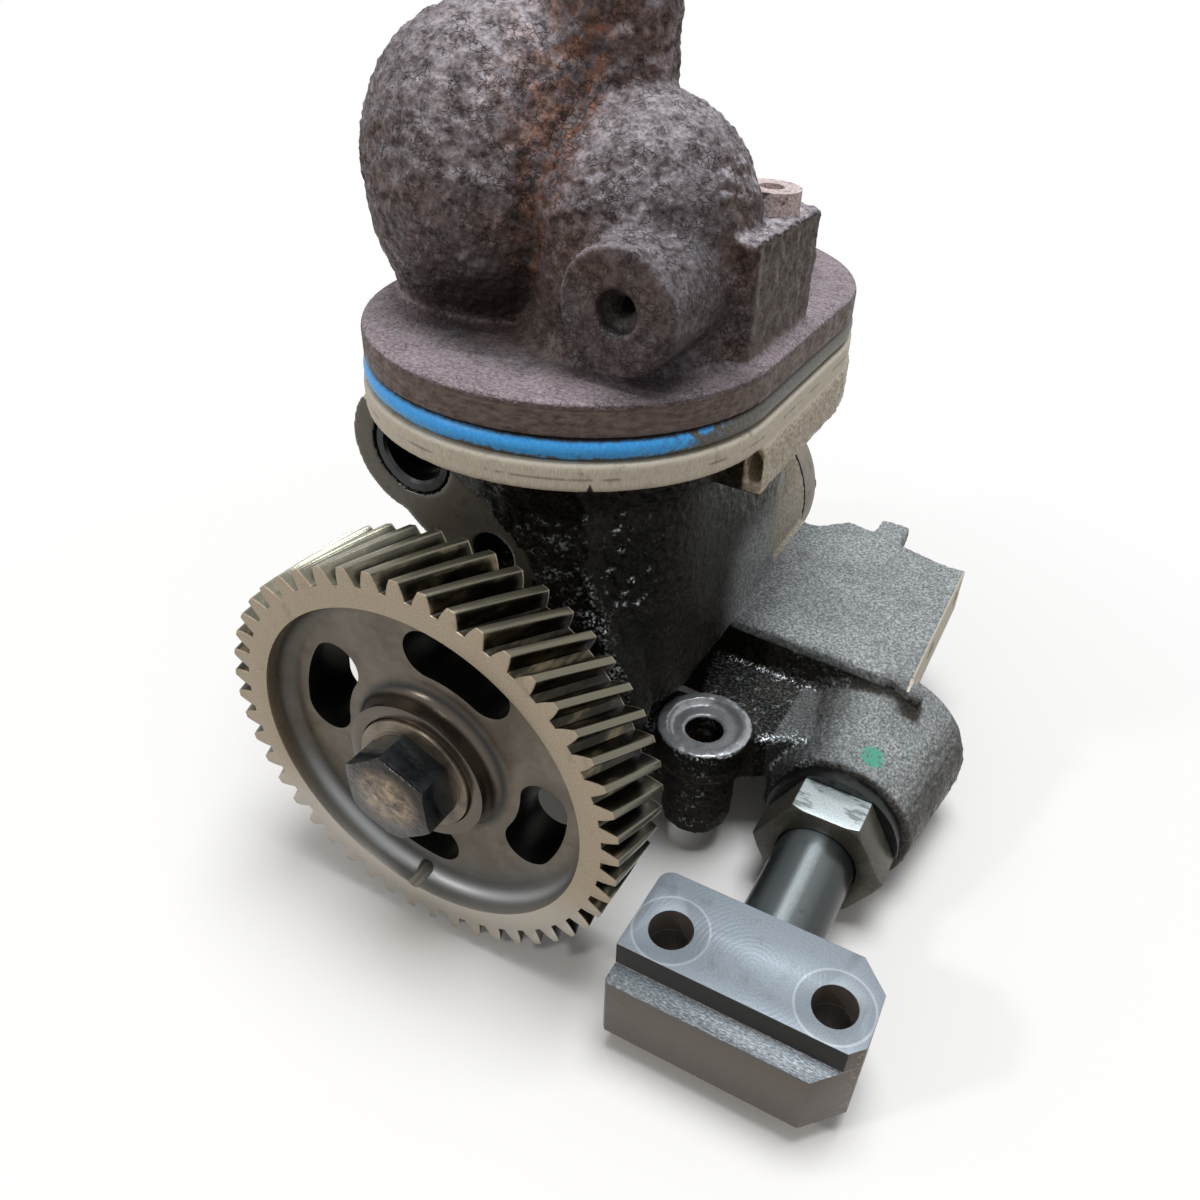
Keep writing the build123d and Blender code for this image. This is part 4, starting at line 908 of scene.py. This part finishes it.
def store_oil(mesh, lug_away):
    """Values that tell the casting's look where painted glints go, where it turns grey (partly scrubbed
    iron, partly painted light from above), and where it is tan or dry.
    """
    co = coordinates(mesh)
    x, y, z = co.T
    normals = vertex_normals(mesh)
    beads = neck_beads(co)
    store(mesh, "beads", beads)
    # Painted glints: bumps that face one fixed direction between lamp and camera, on the beads, by the lug,
    # on the front wall and along the ridge.
    lit = ease(normals @ np.array([0.15, -0.70, 0.70], np.float32), 0.68, 0.85)
    front_wall = (0.35 + 0.4 * ease(x, 16, 26)) * ease(y, 92, 80) * ease(z, -70, -50)
    by_lug = (x > 40) * (x < 96) * (y > 66) * (y < 126) * (z < -8)
    glint = lit * np.maximum.reduce([beads, 0.9 * by_lug, front_wall])
    glint = np.maximum(glint, 0.14 * by_lug * ease(normals[:, 2], 0.5, 0.8))
    store(mesh, "glint", np.maximum(glint, 0.95 * neck_ridge(co) * ease(z, 54, 50)))

    # Grey where faces look up: partly scrubbed iron, partly painted light from above; on the delivery boss
    # it follows a painted sun direction, and it fades towards the arm's back and next to the neck.
    up = ease(normals[:, 2], 0.35, 0.8)
    arm = (x > 26) & (y > 112) & (z > -12)
    boss = np.hypot(x - DELIVERY_AXIS[0], z - DELIVERY_AXIS[1]) < 37
    boss &= (y < 140) & (x > 78) & (z < -7)
    arm_back = 1 - 0.45 * ease(y - 0.9 * (x - 60), 195, 235)
    nub = (x > 106) & (y < 129)
    root = ease(slot_distance(co), NECK_R - 2, NECK_R + 8)
    bare_and_painted_light = np.where(arm & ~nub, up * 0.9 * arm_back * root, 0)
    wall = ease(y, 108, 135) * ease(z, 44, 20) * (x > 40) * (z > -10)
    bare_and_painted_light = np.maximum(bare_and_painted_light, 0.85 * wall)
    sunlit = ease(normals @ np.array([0.2, 0, 0.98], np.float32), 0.5, 0.98)
    sunlit *= 0.3 + 0.7 * ease(x, 88, 106)
    bare_and_painted_light = np.maximum(bare_and_painted_light, np.where(boss, 0.10 + 0.70 * sunlit, 0))
    web = (z > -32) & (x > 48) & (y > 84) & (y < 128)
    bare_and_painted_light = np.maximum(bare_and_painted_light, np.where(web & ~boss, up * 0.03, 0))
    lug_ring = (lug_away > 12.4) & (lug_away < 18) & (z > LUG[2] - 1)
    store(mesh, "bare_and_painted_light", np.maximum(bare_and_painted_light, np.where(lug_ring, up * 0.4, 0)))

    lip = (z > LIP_BOTTOM_Z + 0.5) & (z < PILOT_BOTTOM_Z)
    lip &= (slot_distance(co) > LIP_R - 5.8) & (y > LIP_FACE_Y - 1)
    rear = ease(y, 142, 180) * ((x < 45) | (z > 6))
    store(mesh, "tan", np.maximum(lip * 0.95, 0.66 * rear))
    right = ease(x, 34, 46) * ease(y, 62, 80) * ease(z, -8, 0)
    arm_wall = 0.45 * (x > 62) * (y > 110)
    stem = 0.40 * (lug_away < 19) * (z < LUG[2] - 6)
    boss_side = boss * ease(x, 100, 112)
    store(mesh, "dry", np.clip(0.5 * rear + 0.4 * right + np.maximum(arm_wall, stem) + boss_side, 0, 1))


def face_values(mesh, name):
    """Centre or normal of every face, as an array."""
    flat = np.empty(len(mesh.polygons) * 3, np.float32)
    mesh.polygons.foreach_get(name, flat)
    return flat.reshape(-1, 3)


def mark_machined(mesh):
    """Give the turned, milled and spot-faced parts of the housing their own materials."""
    x, y, z = (face_values(mesh, "center") / MM).T
    facing = face_values(mesh, "normal")
    turned = z > PILOT_BOTTOM_Z - 0.3
    turned |= (np.abs(x - PAD_X) < 0.6) & (y > ARM_FRONT_Y - 2) & (z > PAD_BOTTOM_Z - 1)
    milled = (np.abs(y - MOUNT_FACE_Y) < 0.8) & (facing[:, 1] < -0.7) & (x < 14) & ~turned
    spot = (np.hypot(x - LUG[0], y - LUG[1]) < LUG_R - 0.6) & (np.abs(z - LUG[2] - 1.2) < 2.2)
    index = turned.astype(np.int32) + 2 * milled.astype(np.int32) + 3 * spot.astype(np.int32)
    mesh.polygons.foreach_set("material_index", index)


def make_housing(cast, machined, ear_face, lug_face):
    """The housing as a softened casting, cut where it is machined."""
    piece = clean_copy("pump_housing", "housing_casting")
    lug_away = shape_housing(piece)
    store_oil(piece.data, lug_away)
    finish_piece(piece, "pump_housing", [cast, machined, ear_face, lug_face], None)
    mark_machined(piece.data)


# ======== camera, light and floor ========

def make_camera():
    """Camera from yaw, pitch and roll about the frame's axes."""
    yaw, pitch, roll = (math.radians(a) for a in (YAW_DEG, PITCH_DEG, ROLL_DEG))
    right = Vector((math.cos(yaw), math.sin(yaw), 0))
    ahead = Vector((-math.sin(yaw), math.cos(yaw), 0))
    up = Vector((0, 0, 1))
    view = ahead * math.cos(pitch) - up * math.sin(pitch)
    top = up * math.cos(pitch) + ahead * math.sin(pitch)
    right_rolled = right * math.cos(roll) + top * math.sin(roll)
    top_rolled = top * math.cos(roll) - right * math.sin(roll)
    data = bpy.data.cameras.new("camera")
    data.sensor_width = SENSOR_MM
    data.lens = FOCAL_PX / IMAGE_SIZE * SENSOR_MM
    data.shift_x = (IMAGE_SIZE / 2 - AXIS_PX) / IMAGE_SIZE
    data.clip_start = 0.01
    camera = bpy.data.objects.new("camera", data)
    bpy.context.scene.collection.objects.link(camera)
    axes = Matrix((right_rolled, top_rolled, -view)).transposed().to_4x4()
    axes.translation = Vector(CAMERA_MM) * MM
    camera.matrix_world = axes
    bpy.context.scene.camera = camera


def area_light(name, place, aim, size, power, colour=(1, 1, 1)):
    data = bpy.data.lights.new(name, "AREA")
    data.shape = "RECTANGLE"
    data.size = size[0]
    data.size_y = size[1]
    data.energy = power
    data.color = colour
    lamp = bpy.data.objects.new(name, data)
    bpy.context.scene.collection.objects.link(lamp)
    lamp.location = place
    lamp.rotation_euler = (Vector(aim) - Vector(place)).to_track_quat("-Z", "Y").to_euler()


def background(tree, strength):
    node = tree.nodes.new("ShaderNodeBackground")
    node.inputs["Color"].default_value = (1, 1, 1, 1)
    node.inputs["Strength"].default_value = strength
    return node


def make_world():
    """Soft light all round; the camera sees plain white."""
    world = bpy.data.worlds.new("studio")
    bpy.context.scene.world = world
    world.use_nodes = True
    tree = world.node_tree
    tree.nodes.clear()
    out = tree.nodes.new("ShaderNodeOutputWorld")
    soft = background(tree, SKY_STRENGTH)
    white = background(tree, 1.0)
    mix = tree.nodes.new("ShaderNodeMixShader")
    tree.links.new(seen_directly(tree), mix.inputs["Fac"])
    tree.links.new(soft.outputs[0], mix.inputs[1])
    tree.links.new(white.outputs[0], mix.inputs[2])
    tree.links.new(mix.outputs[0], out.inputs["Surface"])


def make_floor():
    half = FLOOR_SIZE / 2
    z = FLOOR_Z_MM * MM
    corners = [(-half, -half, z), (half, -half, z), (half, half, z), (-half, half, z)]
    mesh = bpy.data.meshes.new("floor")
    mesh.from_pydata(corners, [], [(0, 1, 2, 3)])
    mesh.materials.append(floor_look())
    add_object("floor", mesh)


make_camera()
make_world()
make_floor()
area_light("key", (0.12, 0.12, 1.5), (0.03, 0.06, 0), (0.7, 0.7), 19, (0.94, 0.97, 1.0))
area_light("fill", (-0.8, -0.9, 0.9), (0.03, 0.06, 0), (0.13, 0.13), 4, (1.0, 0.97, 0.93))
bpy.context.scene.view_settings.view_transform = "Standard"

rust = rust_look()
cast = cast_look()
tan_iron = band_look()
ear_face = machined_look("milled_iron", (0.125, 0.11, 0.09), (0.03, 0.027, 0.022), 0.35, 0.8, 0.4)
lug_face = machined_look("lug_steel", (0.42, 0.44, 0.455), (0.13, 0.137, 0.145), 0.28, 0.6, 0.5)
edge_tan = oily_steel_look("worn_edge", (0.46, 0.42, 0.35), 0.3)
dark_steel = oily_steel_look("dark_steel", (0.045, 0.048, 0.047), 0.22)
tube_steel = tube_look()
bronze = oily_steel_look("bearing_bronze", (0.45, 0.32, 0.14), 0.35)
grey_steel = oily_steel_look("grey_steel", (0.28, 0.28, 0.265), 0.3)
nut_steel = nut_look()
edge_light = oily_steel_look("nicked_edge", (0.50, 0.53, 0.55), 0.35, 0.3)
cover_iron = machined_look("cover_iron", (0.33, 0.29, 0.24), (0.14, 0.12, 0.095), 0.5, 0.7)
black_rubber = oily_steel_look("black_rubber", (0.02, 0.02, 0.02), 0.5, 0.0)
black_bolt = bolt_look()
gear_steel = gear_look()

make_manifold(rust)
make_housing(cast, tan_iron, ear_face, lug_face)
bevelled("drive_gear", 0.3, gear_steel, edge_tan)
bevelled("gear_bolt", 0.7, black_bolt, dark_steel, 3)
bevelled("gear_washer", 0.3, washer_look(), edge_tan)
bevelled("connector_block", 0.4, block_look(), edge_light)
bevelled("gland_nut", 0.45, nut_steel, edge_tan)

PLAIN = {
    "manifold_seal": rubber_look(),
    "manifold_screws": screw_rust_look(),
    "delivery_union": dark_steel,
    "outlet_tube": tube_steel,
    "tube_ferrule": grey_steel,
    "locating_sleeve": dark_steel,
    "rear_cover": cover_iron,
    "cover_gasket": black_rubber,
    "cover_screws": dark_steel,
    "cover_dowels": grey_steel,
    "drive_shaft": grey_steel,
    "gear_key": grey_steel,
    "pump_gear_key": grey_steel,
    "thrust_washer": bronze,
    "front_bushing": bronze,
    "rear_bushing": bronze,
    "cover_bushing": bronze,
    "idler_bushing": bronze,
    "idler_shaft": grey_steel,
    "pump_drive_gear": grey_steel,
    "pump_driven_gear": grey_steel,
    "block_ring": black_rubber,
    "relief_plunger": grey_steel,
    "relief_spring": grey_steel,
    "relief_plug": dark_steel,
}
for node, material in PLAIN.items():
    slots = NODES[node].data.materials
    if len(slots):
        for index in range(len(slots)):
            slots[index] = material
    else:
        slots.append(material)
